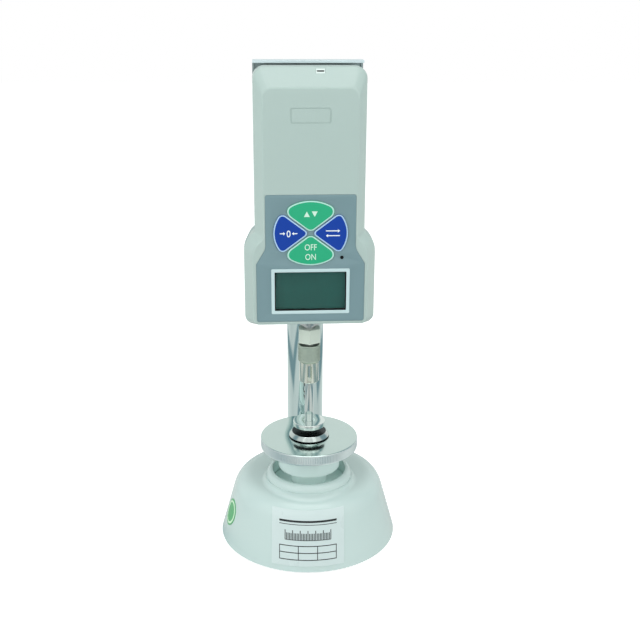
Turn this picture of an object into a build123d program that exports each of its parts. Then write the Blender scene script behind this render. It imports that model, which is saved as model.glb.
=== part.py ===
from build123d import *

import os
from math import atan2, cos, hypot, radians, sin, tan

# Grain hardness tester: a digital force gauge on a pillar over a screw-driven stage.
# Sizes are millimetres. X runs to the right, Y to the back and Z up.
# The origin is on the table under the centre of the round base.

# Clearances shared by the fits
run_gap = 0.05
slip_gap = 0.15
seat_gap = 0.3
hole_gap = 0.4

# Base casting
base_d = 120.0
rim_z = 1.5
flank_in = 8.9
flank_top_d = base_d - 2 * flank_in
flank_top_z = 33.6
crown_in = 22.1
crown_d = base_d - 2 * crown_in
crown_z = 44.3
flank_pull = 6.6
crown_pull = 7.8
base_wall = 5.0
plate_t = 3.0
plate_z = 2.0
plate_gap = 0.6
plate_screw_in = 14.5
plate_screw_pcd = base_d - 2 * plate_screw_in
plate_boss_d = 10.0
plate_boss_top_z = 30.0
plate_screw_count = 4
plate_screw_turn = 45.0
screw_end_gap = 1.0
screw4_d = 4.0
screw4_head_d = 7.6
screw4_head_h = 2.2
plate_screw_len = 12.0
foot_d = 13.0
foot_in = 17.0
foot_pcd = base_d - 2 * foot_in
foot_count = 4
foot_chamfer = 0.5

# Pillar and its socket
column_d = 25.0
column_in = 20.0
column_y = base_d / 2 - column_in
column_seat_z = 20.0
column_drop = 17.9
column_chamfer = 1.0
socket_wall = 5.0
socket_floor = 6.0
socket_top_z = 60.0
socket_round = 2.0
bolt8_d = 8.0
bolt8_head_af = 13.0
bolt8_head_h = 5.3
bolt8_depth = 18.0
bolt_end_gap = 2.0
washer_t = 1.6
washer_d = 20.0

# Stage axis, collar and lift nut
stage_y = -12.0
collar_bore_d = 49.2
collar_top_z = 53.0
collar_edge_d = 51.0
collar_lip_d = 57.2
collar_lip_z = 48.4
collar_d = 58.4
collar_cove = 3.0
nut_seat_z = 41.5
nut_flange_t = 3.0
nut_flange_d = 48.0
nut_body_d = 32.0
nut_bottom_z = 22.0
nut_boss_wall = 10.0
nut_screw_pcd = 40.0
nut_screw_count = 3
screw3_d = 3.0
screw3_head_d = 5.8
screw3_head_h = 1.7
nut_screw_len = 12.0

# Stage wheel, screw and anvil
wheel_d = 64.5
wheel_top_z = 77.2
wheel_rim_h = 7.2
wheel_chamfer = 0.8
neck_d = 41.0
neck_bottom_z = 55.4
neck_chamfer = 0.6
screw_d = 24.0
screw_bottom_z = 21.0
bearing_t = 3.3
bearing_proud = 0.2
bearing_d = 23.4
bearing_bore_d = 12.1
spindle_d = 12.0
spindle_bottom_z = 17.4
anvil_d = 26.8
anvil_top_d = 22.6
anvil_h = 3.1
anvil_edge = 0.3
ring_t = 1.2
ring_d = 18.0
ring_groove = 0.8
set_screw_d = 5.0
set_screw_len = 7.0
set_screw_spread = 60.0
set_screw_z = 62.7
stage_up = 4.0
stage_down = 10.0
blade_t = 3.0
blade_w = 8.0
blade_foot_w = 22.0
blade_foot_d = 16.0
blade_foot_t = 1.5
blade_screw_x = 8.0
blade_top_gap = 0.6
blade_engage = 5.6

# Pressing train under the gauge, from the foot upwards
grain_gap = 4.3
foot_plate_d = 21.1
foot_plate_t = 3.3
foot_plate_chamfer = 0.3
rod_d = 5.7
rod_seat = 2.0
collet_d = 12.9
collet_h = 14.4
collet_bottom_z = 116.6
collet_slot_w = 2.7
collet_slot_bottom = 1.7
collet_slot_top = 1.6
collet_stub_d = 8.0
collet_stub_h = 2.4
collet_chamfer = 0.5
sleeve_d = 14.4
sleeve_h = 11.4
sleeve_gap = 0.1
sleeve_chamfer = 0.4
lock_nut_af = 13.4
lock_nut_h = 10.0
lock_nut_gap = 1.2
lock_nut_chamfer = 0.8
shaft_d = 8.0
shaft_engage = 8.4

# Gauge body
gauge_bottom_z = 158.5
gauge_top_z = 317.9
board_w = 58.0
board_side_gap = 5.1
lower_side_gap = 12.0
gauge_upper_w = board_w + 2 * board_side_gap
gauge_lower_w = board_w + 2 * lower_side_gap
gauge_back_y = 11.5
gauge_front_y = -26.5
gauge_seam_y = -8.0
gauge_shoulder_y = -17.0
gauge_wall = 2.5
flare_z = 213.1
flare_angle = 52.0
flare_round = 16.0
flare_cove = 1.5
corner_top = 7.0
corner_bottom = 5.5
corner_shrink = 0.3
plateau_side = 5.4
plateau_top = 11.4
plateau_bottom = 2.4
plateau_round = 0.5
back_draft = 2.0
back_round = 1.0
seam_chamfer = 0.3
emboss_w = 24.0
emboss_h = 9.0
emboss_drop = 27.3
emboss_z = gauge_top_z - emboss_drop
emboss_line = 0.5
emboss_depth = 0.3
emboss_round = 1.2

# Panel, keys and display
panel_upper_in = 6.4
panel_lower_in = 7.5
panel_upper_w = gauge_upper_w - 2 * panel_upper_in
panel_lower_w = gauge_lower_w - 2 * panel_lower_in
panel_top_z = 243.4
panel_bottom_z = 162.8
panel_flare_low_z = 200.2
panel_flare_high_z = 209.8
panel_t = 0.5
panel_corner = 1.4
panel_flare_round = 1.0
panel_flare_cove = 9.0
keys_z = 219.6
keys_w = 45.8
keys_h = 40.6
key_angle = 37.0
key_split = 0.7
key_t = 1.2
key_proud = 0.4
key_travel = 0.4
key_tip_round = 2.0
key_side_round = 2.6
key_edge = 0.25
key_stem_d = 3.8
key_stem_end_y = -23.4
key_stem_x = 13.0
key_stem_z = 11.5
display_z = 182.4
frame_in = 4.65
frame_w = board_w - 2 * frame_in
frame_h = 29.2
frame_line = 2.1
frame_proud = 0.4
frame_round = 0.8
window_t = 0.5
window_ledge = 0.7
led_in = 9.7
led_x = board_w / 2 - led_in
led_z = 204.1
led_d = 2.2

# Inside the gauge
lcd_in = 5.4
lcd_w = board_w - 2 * lcd_in
lcd_h = 31.0
lcd_t = 3.6
board_t = 1.6
board_bottom_z = 165.0
board_top_z = 243.0
board_screw_in = 3.0
board_screw_x = board_w / 2 - board_screw_in
board_screw_low_z = 168.5
board_screw_high_z = 239.5
board_post_d = 4.4
screw2_d = 2.0
screw2_head_d = 3.8
screw2_head_h = 1.2
board_screw_len = 3.6
switch_w = 6.0
switch_h = 2.0
switch_tip_d = 3.4
switch_tip_h = 0.4
chassis_in = 4.0
chassis_w = board_w - 2 * chassis_in
chassis_t = 4.0
chassis_bottom_z = 172.0
chassis_drop = 14.9
chassis_top_z = gauge_top_z - chassis_drop
ledge_in = 3.0
ledge_w = chassis_w - 2 * ledge_in
ledge_t = 8.0
cell_top_z = 226.0
cell_h = 50.0
cell_w = 38.0
cell_t = 12.0
cell_slot_h = 3.0
cell_slot_len = 27.0
cell_slot_z = 12.0
cell_core_d = 14.0
cell_stud_d = 6.0
cell_stud_len = 8.0
bolt5_d = 5.0
bolt5_head_d = 8.5
bolt5_head_h = 5.0
bolt5_x = 10.0
bolt5_depth = 8.0
bush_d = 12.0
bush_flange_d = 15.0
bush_flange_t = 1.5
bush_h = 4.5
battery_len = chassis_w
battery_count = 4
battery_gap = 0.3
battery_start = 1.9
battery_drop = 15.3
post_d = 8.4
post_end_y = -20.5
post_high_in = 7.1
post_high_x = gauge_upper_w / 2 - post_high_in
post_drop = 8.9
post_high_z = gauge_top_z - post_drop
post_low_in = 6.5
post_low_x = gauge_lower_w / 2 - post_low_in
post_low_z = 166.5
post_screw_depth = 8.0
post_screw_sink = 3.0

# Data port in the top slope
port_x = 6.0
port_y = -18.9
port_w = 5.6
port_t = 2.4
port_deep = 6.0
port_sink = 0.3
port_rim = 0.5
port_mouth_deep = 4.0

# Tray, clamp and their screws
tray_t = 1.45
tray_in = 0.1
tray_w = gauge_upper_w - 2 * tray_in
tray_bottom_z = 172.0
tray_roof_gap = 0.4
tray_roof_depth = 11.0
tray_lip_depth = 3.6
tray_lip_bottom_z = 222.0
tray_corner = 3.0
tray_screw_x = 18.0
tray_screw_low_z = 186.0
tray_screw_drop = 19.9
tray_screw_high_z = gauge_top_z - tray_screw_drop
pan_head_d = 8.0
pan_head_h = 2.4
clamp_w = 40.0
clamp_drop = 81.9
clamp_bottom_z = gauge_top_z - clamp_drop
clamp_h = 48.0
clamp_behind = 20.0
clamp_back_y = column_y + clamp_behind
clamp_round = 3.0
clamp_slit = 1.6
clamp_screw_in = 4.2
clamp_screw_y = clamp_back_y - clamp_screw_in
clamp_screw_inset = 12.0
clamp_head_d = 6.4
clamp_head_h = 4.0
clamp_screw_end = 3.0
clamp_head_sink = 1.0
mount_screw_x = 12.0
mount_screw_inset = 10.0
mount_screw_len = 12.0
mount_head_d = 6.8
mount_head_h = 1.3

# Label and sticker on the base
label_t = 0.25
label_low_z = 5.0
label_high_z = 40.5
label_angle = 51.0
label_turn = -93.0
sticker_d = 17.5
sticker_z = 20.5
sticker_turn = 193.0
sticker_t = 0.25

# Worked-out places
base_r = base_d / 2
flank_r = flank_top_d / 2
crown_r = crown_d / 2
plate_top_z = plate_z + plate_t
stage_plane = Plane(origin=(0, stage_y, 0))
screw_r = screw_d / 2
anvil_bottom_z = wheel_top_z + bearing_proud
anvil_top_z = anvil_bottom_z + anvil_h
screw_top_z = anvil_bottom_z - bearing_t
foot_plate_bottom_z = anvil_top_z + grain_gap
foot_plate_top_z = foot_plate_bottom_z + foot_plate_t
collet_top_z = collet_bottom_z + collet_h
sleeve_bottom_z = collet_top_z + sleeve_gap
sleeve_top_z = sleeve_bottom_z + sleeve_h
lock_nut_bottom_z = sleeve_top_z + lock_nut_gap
lock_nut_top_z = lock_nut_bottom_z + lock_nut_h
shaft_bottom_z = sleeve_top_z - shaft_engage
cell_bottom_z = cell_top_z - cell_h
column_top_z = gauge_top_z - column_drop
battery_bottom_z = board_top_z + battery_start
battery_pitch = (gauge_top_z - battery_drop - battery_bottom_z + battery_gap) / battery_count
battery_d = battery_pitch - battery_gap
battery_low_z = battery_bottom_z + battery_d / 2
panel_floor_y = gauge_front_y + panel_t
wall_inner_y = gauge_front_y + gauge_wall
key_front_y = gauge_front_y - key_proud
key_back_y = key_front_y + key_t
key_floor_y = key_back_y + key_travel + run_gap
board_front_y = wall_inner_y + lcd_t
board_back_y = board_front_y + board_t
back_wall_y = gauge_back_y - gauge_wall
chassis_front_y = back_wall_y - chassis_t
tray_front_y = gauge_back_y
tray_back_y = tray_front_y + tray_t
tray_top_z = gauge_top_z + tray_roof_gap + tray_t
clamp_top_z = clamp_bottom_z + clamp_h
mount_low_z = clamp_bottom_z + mount_screw_inset
mount_high_z = clamp_top_z - mount_screw_inset
lip_top_z = tray_top_z - tray_t
tray_screw_len = tray_back_y - chassis_front_y - screw_end_gap / 2
clamp_head_x = clamp_w / 2 - clamp_head_h - clamp_head_sink
clamp_screw_len = clamp_head_x + clamp_w / 2 - clamp_screw_end
clamp_screw_planes = [
    Plane(origin=(clamp_head_x, clamp_screw_y, z), x_dir=(0, 1, 0), z_dir=(1, 0, 0))
    for z in (clamp_bottom_z + clamp_screw_inset, clamp_top_z - clamp_screw_inset)
]
column_plane = Plane(origin=(0, column_y, 0))
key_places = {
    "key_set": (0.0, key_stem_z, 90.0),
    "key_zero": (-key_stem_x, 0.0, 180.0),
    "key_unit": (key_stem_x, 0.0, 0.0),
    "key_power": (0.0, -key_stem_z, 270.0),
}


def front_plane(y):
    """Upright plane at depth y that faces the front: its x is X and its y is Z."""
    return Plane.XZ.offset(-y)


def back_plane(y):
    """Upright plane at depth y that faces the back: its x is -X and its y is Z."""
    return Plane(origin=(0, y, 0), x_dir=(-1, 0, 0), z_dir=(0, 1, 0))


def spots(plane, places):
    """Copies of a plane moved to each place, given in the plane's own x and y."""
    return [Plane(plane.location * Pos(x, y, 0)) for x, y in places]


def ring_spots(plane, pcd, count, start=0.0):
    """Copies of a plane spread evenly on a circle about its origin."""
    turns = [radians(start + 360.0 * i / count) for i in range(count)]
    return spots(plane, [(pcd / 2 * cos(t), pcd / 2 * sin(t)) for t in turns])


def casting_section(inset, turn=0.0):
    """Half section of the base casting inside its skin by inset, turned about Z."""
    aim = radians(turn)
    plane = Plane(origin=(0, 0, 0), x_dir=(cos(aim), sin(aim), 0), z_dir=(sin(aim), -cos(aim), 0))
    foot = (base_r - inset, rim_z)
    flank = (flank_r - inset, flank_top_z)
    crown = (crown_r - inset, crown_z - inset)
    run = hypot(base_r - flank_r, flank_top_z - rim_z)
    rise = flank_pull * (crown[1] - flank[1]) / (crown_z - flank_top_z)
    pull_low = (flank[0] - rise * (base_r - flank_r) / run, flank[1] + rise * (flank_top_z - rim_z) / run)
    with BuildSketch(plane) as section:
        with BuildLine():
            Line(foot, flank)
            Bezier(flank, pull_low, (crown[0] + crown_pull, crown[1]), crown)
            Polyline(crown, (0, crown[1]), (0, rim_z), foot)
        make_face()
    return section.sketch


def gauge_outline(y, side, top, bottom):
    """Front outline of the gauge body at depth y, drawn inside by the three insets."""
    half_up = gauge_upper_w / 2 - side
    half_low = gauge_lower_w / 2 - side
    flare_low = flare_z - side * tan(radians(flare_angle / 2))
    flare_high = flare_low + (half_low - half_up) / tan(radians(flare_angle))
    z_top = gauge_top_z - top
    z_bottom = gauge_bottom_z + bottom
    right = [(half_low, z_bottom), (half_low, flare_low), (half_up, flare_high), (half_up, z_top)]
    left = [(-x, z) for x, z in right[::-1]]
    shrink = side * corner_shrink
    rounds = [corner_bottom - shrink, flare_round - side, flare_cove + side, corner_top - shrink]
    with BuildSketch(front_plane(y)) as outline:
        with BuildLine():
            FilletPolyline(*right, *left, radius=rounds + rounds[::-1], close=True)
        make_face()
    return outline.sketch


def panel_outline(y, grow):
    """Outline of the panel sheet at depth y, grown outwards by grow."""
    half_up = panel_upper_w / 2
    half_low = panel_lower_w / 2
    right = [
        (half_low, panel_bottom_z),
        (half_low, panel_flare_low_z),
        (half_up, panel_flare_high_z),
        (half_up, panel_top_z),
    ]
    left = [(-x, z) for x, z in right[::-1]]
    rounds = [panel_corner, panel_flare_round, panel_flare_cove, panel_corner]
    with BuildSketch(front_plane(y)) as outline:
        with BuildLine():
            FilletPolyline(*right, *left, radius=rounds + rounds[::-1], close=True)
        make_face()
        if grow:
            offset(amount=grow)
    return outline.sketch


def key_petal(y, turn, grow):
    """One petal of the key oval at depth y, grown outwards: a sector with rounded corners."""
    half = radians(key_angle if turn % 180.0 == 0.0 else 90.0 - key_angle)
    tip = (key_split / 2 - grow) / sin(half)
    aim = radians(turn)
    apex = (tip * cos(aim), keys_z + tip * sin(aim))
    arms = [(apex[0] + keys_w * cos(a), apex[1] + keys_w * sin(a)) for a in (aim + half, aim - half)]
    with BuildSketch(front_plane(y)) as petal:
        with Locations((0, keys_z)):
            Ellipse(keys_w / 2 + grow, keys_h / 2 + grow)
        with BuildLine():
            Polyline(apex, *arms, close=True)
        make_face(mode=Mode.INTERSECT)
        across = petal.vertices().sort_by(Axis.Y if turn % 180.0 == 0.0 else Axis.X)
        fillet([across[0], across[-1]], key_side_round + grow)
        fillet(petal.vertices().sort_by_distance((0, keys_z, 0))[0], key_tip_round + grow)
    return petal.sketch


def rod(plane, diameter, length, bore=0.0):
    """A round bar, or a tube where bore is given, standing on the given plane."""
    with BuildPart() as made:
        with BuildSketch(plane):
            Circle(diameter / 2)
            if bore:
                Circle(bore / 2, mode=Mode.SUBTRACT)
        extrude(amount=length)
    return made.part


def screws(planes, shank_d, length, head_d, head_h, head="pan"):
    """Screws driven into the given planes: each head faces +z of its plane."""
    down = (Align.CENTER, Align.CENTER, Align.MAX)
    with BuildPart() as made:
        with Locations(*planes):
            Cylinder(shank_d / 2 - run_gap, length, align=down)
            if head == "sunk":
                Cone(shank_d / 2 - run_gap, head_d / 2, head_h, align=down)
        if head != "sunk":
            with BuildSketch(*planes):
                if head == "hex":
                    RegularPolygon(head_d / 2, 6, major_radius=False)
                else:
                    Circle(head_d / 2)
            extrude(amount=head_h)
        if head == "cap":
            with BuildSketch(*[p.offset(head_h) for p in planes]):
                RegularPolygon(head_d / 4, 6, major_radius=False)
            extrude(amount=-head_h / 2, mode=Mode.SUBTRACT)
        if head == "pan":
            with BuildSketch(*[p.offset(head_h) for p in planes]):
                Rectangle(head_d * 0.6, head_d * 0.14)
                Rectangle(head_d * 0.14, head_d * 0.6)
            extrude(amount=-head_h / 2, mode=Mode.SUBTRACT)
    return made.part


def finish(name, part):
    """Label a piece and write it under its own name."""
    part.label = name
    export_step(part, f"parts/{name}.step")


os.makedirs("parts", exist_ok=True)
socket_r = column_d / 2 + socket_wall
collar_r = collar_d / 2
stage_axis = Axis((0, stage_y, 0), (0, 0, 1))
under_plate = Plane(origin=(0, 0, plate_z), x_dir=(1, 0, 0), z_dir=(0, 0, -1))
plate_screw_planes = ring_spots(under_plate, plate_screw_pcd, plate_screw_count, plate_screw_turn)
nut_top_plane = stage_plane.offset(nut_seat_z + nut_flange_t)
nut_screw_planes = ring_spots(nut_top_plane, nut_screw_pcd, nut_screw_count, 90.0)

# Base casting: crown, collar, pillar socket, nut boss and screw bosses
with BuildPart() as base_shell:
    revolve(casting_section(0), axis=Axis.Z)
    with BuildSketch(front_plane(stage_y)):
        with BuildLine():
            root_z = crown_z - base_wall
            lip = (collar_lip_d / 2, collar_lip_z)
            lip_pull = (collar_lip_d / 2, (collar_lip_z + collar_top_z) / 2)
            edge_pull = ((collar_lip_d + collar_edge_d) / 4, collar_top_z)
            Polyline((0, root_z), (collar_r, root_z), (collar_r, collar_lip_z), lip)
            Bezier(lip, lip_pull, edge_pull, (collar_edge_d / 2, collar_top_z))
            Polyline((collar_edge_d / 2, collar_top_z), (0, collar_top_z), (0, root_z))
        make_face()
    revolve(axis=stage_axis)
    seam = [
        e
        for e in base_shell.edges()
        if abs(hypot((e @ 0.5).X, (e @ 0.5).Y - stage_y) - collar_r) < run_gap
        and (e @ 0.5).Z < crown_z + run_gap
    ]
    fillet(seam, collar_cove)
    with BuildSketch(column_plane.offset(rim_z)):
        Circle(socket_r)
    extrude(amount=socket_top_z - rim_z)
    fillet(base_shell.faces().filter_by(Axis.Z).sort_by(Axis.Z)[-1].edges(), socket_round)
    revolve(casting_section(base_wall), axis=Axis.Z, mode=Mode.SUBTRACT)
    with BuildSketch(column_plane.offset(column_seat_z - socket_floor)):
        Circle(socket_r)
    extrude(amount=socket_floor + crown_z - column_seat_z)
    with BuildSketch(stage_plane.offset(nut_bottom_z)):
        Circle(nut_body_d / 2 + nut_boss_wall)
    extrude(amount=nut_seat_z - nut_bottom_z)
    with BuildSketch(*[p.offset(-plate_t) for p in plate_screw_planes]):
        Circle(plate_boss_d / 2)
    extrude(amount=plate_top_z - plate_boss_top_z)
    with BuildSketch(stage_plane.offset(nut_seat_z)):
        Circle(collar_bore_d / 2)
    extrude(amount=collar_top_z - nut_seat_z, mode=Mode.SUBTRACT)
    with BuildSketch(stage_plane.offset(nut_seat_z)):
        Circle(nut_body_d / 2 + slip_gap)
    extrude(amount=nut_bottom_z - nut_seat_z, mode=Mode.SUBTRACT)
    with BuildSketch(column_plane.offset(column_seat_z)):
        Circle(column_d / 2 + run_gap)
    extrude(amount=socket_top_z - column_seat_z, mode=Mode.SUBTRACT)
    with Locations(column_plane.offset(column_seat_z)):
        Hole(bolt8_d / 2 + hole_gap, depth=socket_floor)
    with Locations(*plate_screw_planes):
        Hole(screw4_d / 2, depth=plate_t + plate_screw_len)
    with Locations(*[p.offset(-nut_flange_t) for p in nut_screw_planes]):
        Hole(screw3_d / 2, depth=nut_screw_len)
finish("base_shell", base_shell.part)

# Closing plate under the base, with its screws and feet
flank_slope = (base_r - flank_r) / (flank_top_z - rim_z)
plate_r = base_r - base_wall - plate_gap - (plate_top_z - rim_z) * flank_slope
foot_planes = ring_spots(under_plate, foot_pcd, foot_count)
blade_screw_planes = spots(under_plate, [(x, -stage_y) for x in (-blade_screw_x, blade_screw_x)])
with BuildPart() as base_plate:
    with BuildSketch(Plane.XY.offset(plate_z)):
        Circle(plate_r)
    extrude(amount=plate_t)
    with Locations(*plate_screw_planes):
        CounterSinkHole(screw4_d / 2 + slip_gap, screw4_head_d / 2 + slip_gap, depth=plate_t)
    with Locations(*blade_screw_planes):
        CounterSinkHole(screw3_d / 2 + slip_gap, screw3_head_d / 2 + slip_gap, depth=plate_t)
finish("base_plate", base_plate.part)
plate_screw_reach = plate_t + plate_screw_len - screw_end_gap
finish(
    "base_plate_screws",
    screws(plate_screw_planes, screw4_d, plate_screw_reach, screw4_head_d, screw4_head_h, "sunk"),
)
with BuildPart() as rubber_feet:
    with BuildSketch(*foot_planes):
        Circle(foot_d / 2)
    extrude(amount=plate_z)
    chamfer(rubber_feet.faces().filter_by(Axis.Z).group_by(Axis.Z)[0].edges(), foot_chamfer)
finish("rubber_feet", rubber_feet.part)

# Pillar with the bolt and washer that pull it into its socket
washer_z = column_seat_z - socket_floor - washer_t
with BuildPart() as column:
    with BuildSketch(column_plane.offset(column_seat_z)):
        Circle(column_d / 2)
    extrude(amount=column_top_z - column_seat_z)
    chamfer(column.edges().filter_by(GeomType.CIRCLE), column_chamfer)
    with BuildSketch(column_plane.offset(column_seat_z)):
        Circle(bolt8_d / 2)
    extrude(amount=bolt8_depth, mode=Mode.SUBTRACT)
finish("column", column.part)
finish("column_washer", rod(column_plane.offset(washer_z), washer_d, washer_t, bolt8_d + hole_gap))
bolt_plane = Plane(origin=(0, column_y, washer_z), x_dir=(1, 0, 0), z_dir=(0, 0, -1))
bolt_len = washer_t + socket_floor + bolt8_depth - bolt_end_gap
finish("column_bolt", screws([bolt_plane], bolt8_d, bolt_len, bolt8_head_af, bolt8_head_h, "hex"))

# Flanged nut in the collar that carries the stage screw
with BuildPart() as lift_nut:
    with BuildSketch(stage_plane.offset(nut_bottom_z)):
        Circle(nut_body_d / 2)
    extrude(amount=nut_seat_z - nut_bottom_z)
    with BuildSketch(stage_plane.offset(nut_seat_z)):
        Circle(nut_flange_d / 2)
    extrude(amount=nut_flange_t)
    with BuildSketch(stage_plane.offset(nut_bottom_z)):
        Circle(screw_r + run_gap)
    extrude(amount=nut_seat_z + nut_flange_t - nut_bottom_z, mode=Mode.SUBTRACT)
    with Locations(*nut_screw_planes):
        CounterSinkHole(screw3_d / 2 + slip_gap, screw3_head_d / 2 + slip_gap, depth=nut_flange_t)
finish("lift_nut", lift_nut.part)
nut_screw_reach = nut_flange_t + nut_screw_len - screw_end_gap
finish(
    "lift_nut_screws",
    screws(nut_screw_planes, screw3_d, nut_screw_reach, screw3_head_d, screw3_head_h, "sunk"),
)

# Blade on the plate that keeps the anvil's spindle from turning
blade_top_z = spindle_bottom_z + stage_up + blade_engage
with BuildPart() as guide_blade:
    with BuildSketch(stage_plane.offset(plate_top_z)):
        Rectangle(blade_foot_w, blade_foot_d)
    extrude(amount=blade_foot_t)
    with BuildSketch(stage_plane.offset(plate_top_z)):
        Rectangle(blade_t, blade_w)
    extrude(amount=blade_top_z - plate_top_z)
    with Locations(*[p.offset(-plate_t) for p in blade_screw_planes]):
        Hole(screw3_d / 2, depth=blade_foot_t)
finish("guide_blade", guide_blade.part)
finish(
    "guide_blade_screws",
    screws(blade_screw_planes, screw3_d, plate_t + blade_foot_t, screw3_head_d, screw3_head_h, "sunk"),
)

# Hand wheel with its neck, and the screw, set screws and bearing that turn with it
set_screw_planes = []
for side in (-1, 1):
    aim = radians(90.0 + side * set_screw_spread / 2)
    reach = screw_r + run_gap + set_screw_len
    set_screw_planes.append(
        Plane(
            origin=(reach * cos(aim), stage_y + reach * sin(aim), set_screw_z),
            x_dir=(0, 0, 1),
            z_dir=(cos(aim), sin(aim), 0),
        )
    )
with BuildPart() as stage_wheel:
    with BuildSketch(stage_plane.offset(wheel_top_z - wheel_rim_h)):
        Circle(wheel_d / 2)
    extrude(amount=wheel_rim_h)
    chamfer(stage_wheel.edges().filter_by(GeomType.CIRCLE), wheel_chamfer)
    with BuildSketch(stage_plane.offset(neck_bottom_z)):
        Circle(neck_d / 2)
    extrude(amount=wheel_top_z - wheel_rim_h - neck_bottom_z)
    chamfer(stage_wheel.edges().filter_by(GeomType.CIRCLE).sort_by(Axis.Z)[0], neck_chamfer)
    with BuildSketch(stage_plane.offset(neck_bottom_z)):
        Circle(screw_r + run_gap)
    extrude(amount=wheel_top_z - neck_bottom_z, mode=Mode.SUBTRACT)
    with BuildSketch(*[p.offset(-set_screw_len) for p in set_screw_planes]):
        Circle(set_screw_d / 2)
    extrude(amount=neck_d / 2, mode=Mode.SUBTRACT)
finish("stage_wheel", stage_wheel.part)
screw_len = screw_top_z - screw_bottom_z
finish("lift_screw", rod(stage_plane.offset(screw_bottom_z), screw_d, screw_len, bearing_bore_d))
finish("thrust_bearing", rod(stage_plane.offset(screw_top_z), bearing_d, bearing_t, bearing_bore_d))
with BuildPart() as wheel_set_screws:
    with BuildSketch(*set_screw_planes):
        Circle(set_screw_d / 2 - run_gap)
    extrude(amount=-set_screw_len)
    with BuildSketch(*set_screw_planes):
        RegularPolygon(set_screw_d / 4, 6, major_radius=False)
    extrude(amount=-set_screw_len / 3, mode=Mode.SUBTRACT)
finish("wheel_set_screws", wheel_set_screws.part)

# Anvil on its long spindle, and the ring that keeps the spindle in the screw
ring_top_z = screw_bottom_z - seat_gap
slot_top_z = blade_top_z + stage_down + blade_top_gap
with BuildPart() as anvil:
    with BuildSketch(front_plane(stage_y)):
        with BuildLine():
            Polyline(
                (0, anvil_bottom_z),
                (anvil_d / 2, anvil_bottom_z),
                (anvil_top_d / 2 + anvil_edge, anvil_top_z - anvil_edge),
                (anvil_top_d / 2, anvil_top_z),
                (0, anvil_top_z),
                close=True,
            )
        make_face()
    revolve(axis=stage_axis)
    with BuildSketch(stage_plane.offset(spindle_bottom_z)):
        Circle(spindle_d / 2)
    extrude(amount=anvil_bottom_z - spindle_bottom_z)
    with BuildSketch(stage_plane.offset(spindle_bottom_z)):
        Rectangle(blade_t + 2 * slip_gap, spindle_d)
    extrude(amount=slot_top_z - spindle_bottom_z, mode=Mode.SUBTRACT)
    with BuildSketch(stage_plane.offset(ring_top_z)):
        Circle(spindle_d)
        Circle(spindle_d / 2 - ring_groove, mode=Mode.SUBTRACT)
    extrude(amount=-ring_t, mode=Mode.SUBTRACT)
finish("anvil", anvil.part)
ring_bore_d = spindle_d - 2 * ring_groove + 2 * run_gap
finish("spindle_ring", rod(stage_plane.offset(ring_top_z - ring_t), ring_d, ring_t, ring_bore_d))

# Pressing foot and the rod, collet, sleeve and nut over it
with BuildPart() as pressing_foot:
    with BuildSketch(stage_plane.offset(foot_plate_bottom_z)):
        Circle(foot_plate_d / 2)
    extrude(amount=foot_plate_t)
    chamfer(pressing_foot.edges().filter_by(GeomType.CIRCLE), foot_plate_chamfer)
    with Locations(stage_plane.offset(foot_plate_top_z)):
        Hole(rod_d / 2 + run_gap, depth=rod_seat)
finish("pressing_foot", pressing_foot.part)
rod_top_z = collet_top_z - rod_seat
rod_bottom_z = foot_plate_top_z - rod_seat
finish("probe_rod", rod(stage_plane.offset(rod_bottom_z), rod_d, rod_top_z - rod_bottom_z))
slot_low_z = collet_bottom_z + collet_slot_bottom
slot_high_z = collet_top_z - collet_slot_top
with BuildPart() as collet:
    with BuildSketch(stage_plane.offset(collet_bottom_z)):
        Circle(collet_d / 2)
    extrude(amount=collet_h)
    chamfer(collet.edges().filter_by(GeomType.CIRCLE), collet_chamfer)
    with BuildSketch(stage_plane.offset(collet_top_z)):
        Circle(collet_stub_d / 2)
    extrude(amount=collet_stub_h)
    with BuildSketch(stage_plane.offset(collet_bottom_z)):
        Circle(rod_d / 2 + run_gap)
    extrude(amount=rod_top_z - collet_bottom_z, mode=Mode.SUBTRACT)
    with BuildSketch(front_plane(stage_y)):
        with Locations((0, (slot_low_z + slot_high_z) / 2)):
            SlotOverall(slot_high_z - slot_low_z, collet_slot_w, rotation=90)
    extrude(amount=collet_d, mode=Mode.SUBTRACT)
finish("collet", collet.part)
with BuildPart() as coupling_sleeve:
    with BuildSketch(stage_plane.offset(sleeve_bottom_z)):
        Circle(sleeve_d / 2)
    extrude(amount=sleeve_h)
    chamfer(coupling_sleeve.edges().filter_by(GeomType.CIRCLE), sleeve_chamfer)
    with BuildSketch(stage_plane.offset(sleeve_bottom_z)):
        Circle(shaft_d / 2 + run_gap)
    extrude(amount=sleeve_h, mode=Mode.SUBTRACT)
finish("coupling_sleeve", coupling_sleeve.part)
nut_corner_r = lock_nut_af / 2 / cos(radians(30.0))
with BuildPart() as lock_nut:
    with BuildSketch(stage_plane.offset(lock_nut_bottom_z)):
        RegularPolygon(lock_nut_af / 2, 6, major_radius=False, rotation=90)
    extrude(amount=lock_nut_h)
    with BuildSketch(front_plane(stage_y)):
        with BuildLine():
            Polyline(
                (0, lock_nut_bottom_z),
                (nut_corner_r - lock_nut_chamfer, lock_nut_bottom_z),
                (nut_corner_r, lock_nut_bottom_z + lock_nut_chamfer / 2),
                (nut_corner_r, lock_nut_top_z - lock_nut_chamfer / 2),
                (nut_corner_r - lock_nut_chamfer, lock_nut_top_z),
                (0, lock_nut_top_z),
                close=True,
            )
        make_face()
    revolve(axis=stage_axis, mode=Mode.INTERSECT)
    with BuildSketch(stage_plane.offset(lock_nut_bottom_z)):
        Circle(shaft_d / 2 + run_gap)
    extrude(amount=lock_nut_h, mode=Mode.SUBTRACT)
finish("lock_nut", lock_nut.part)
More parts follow.
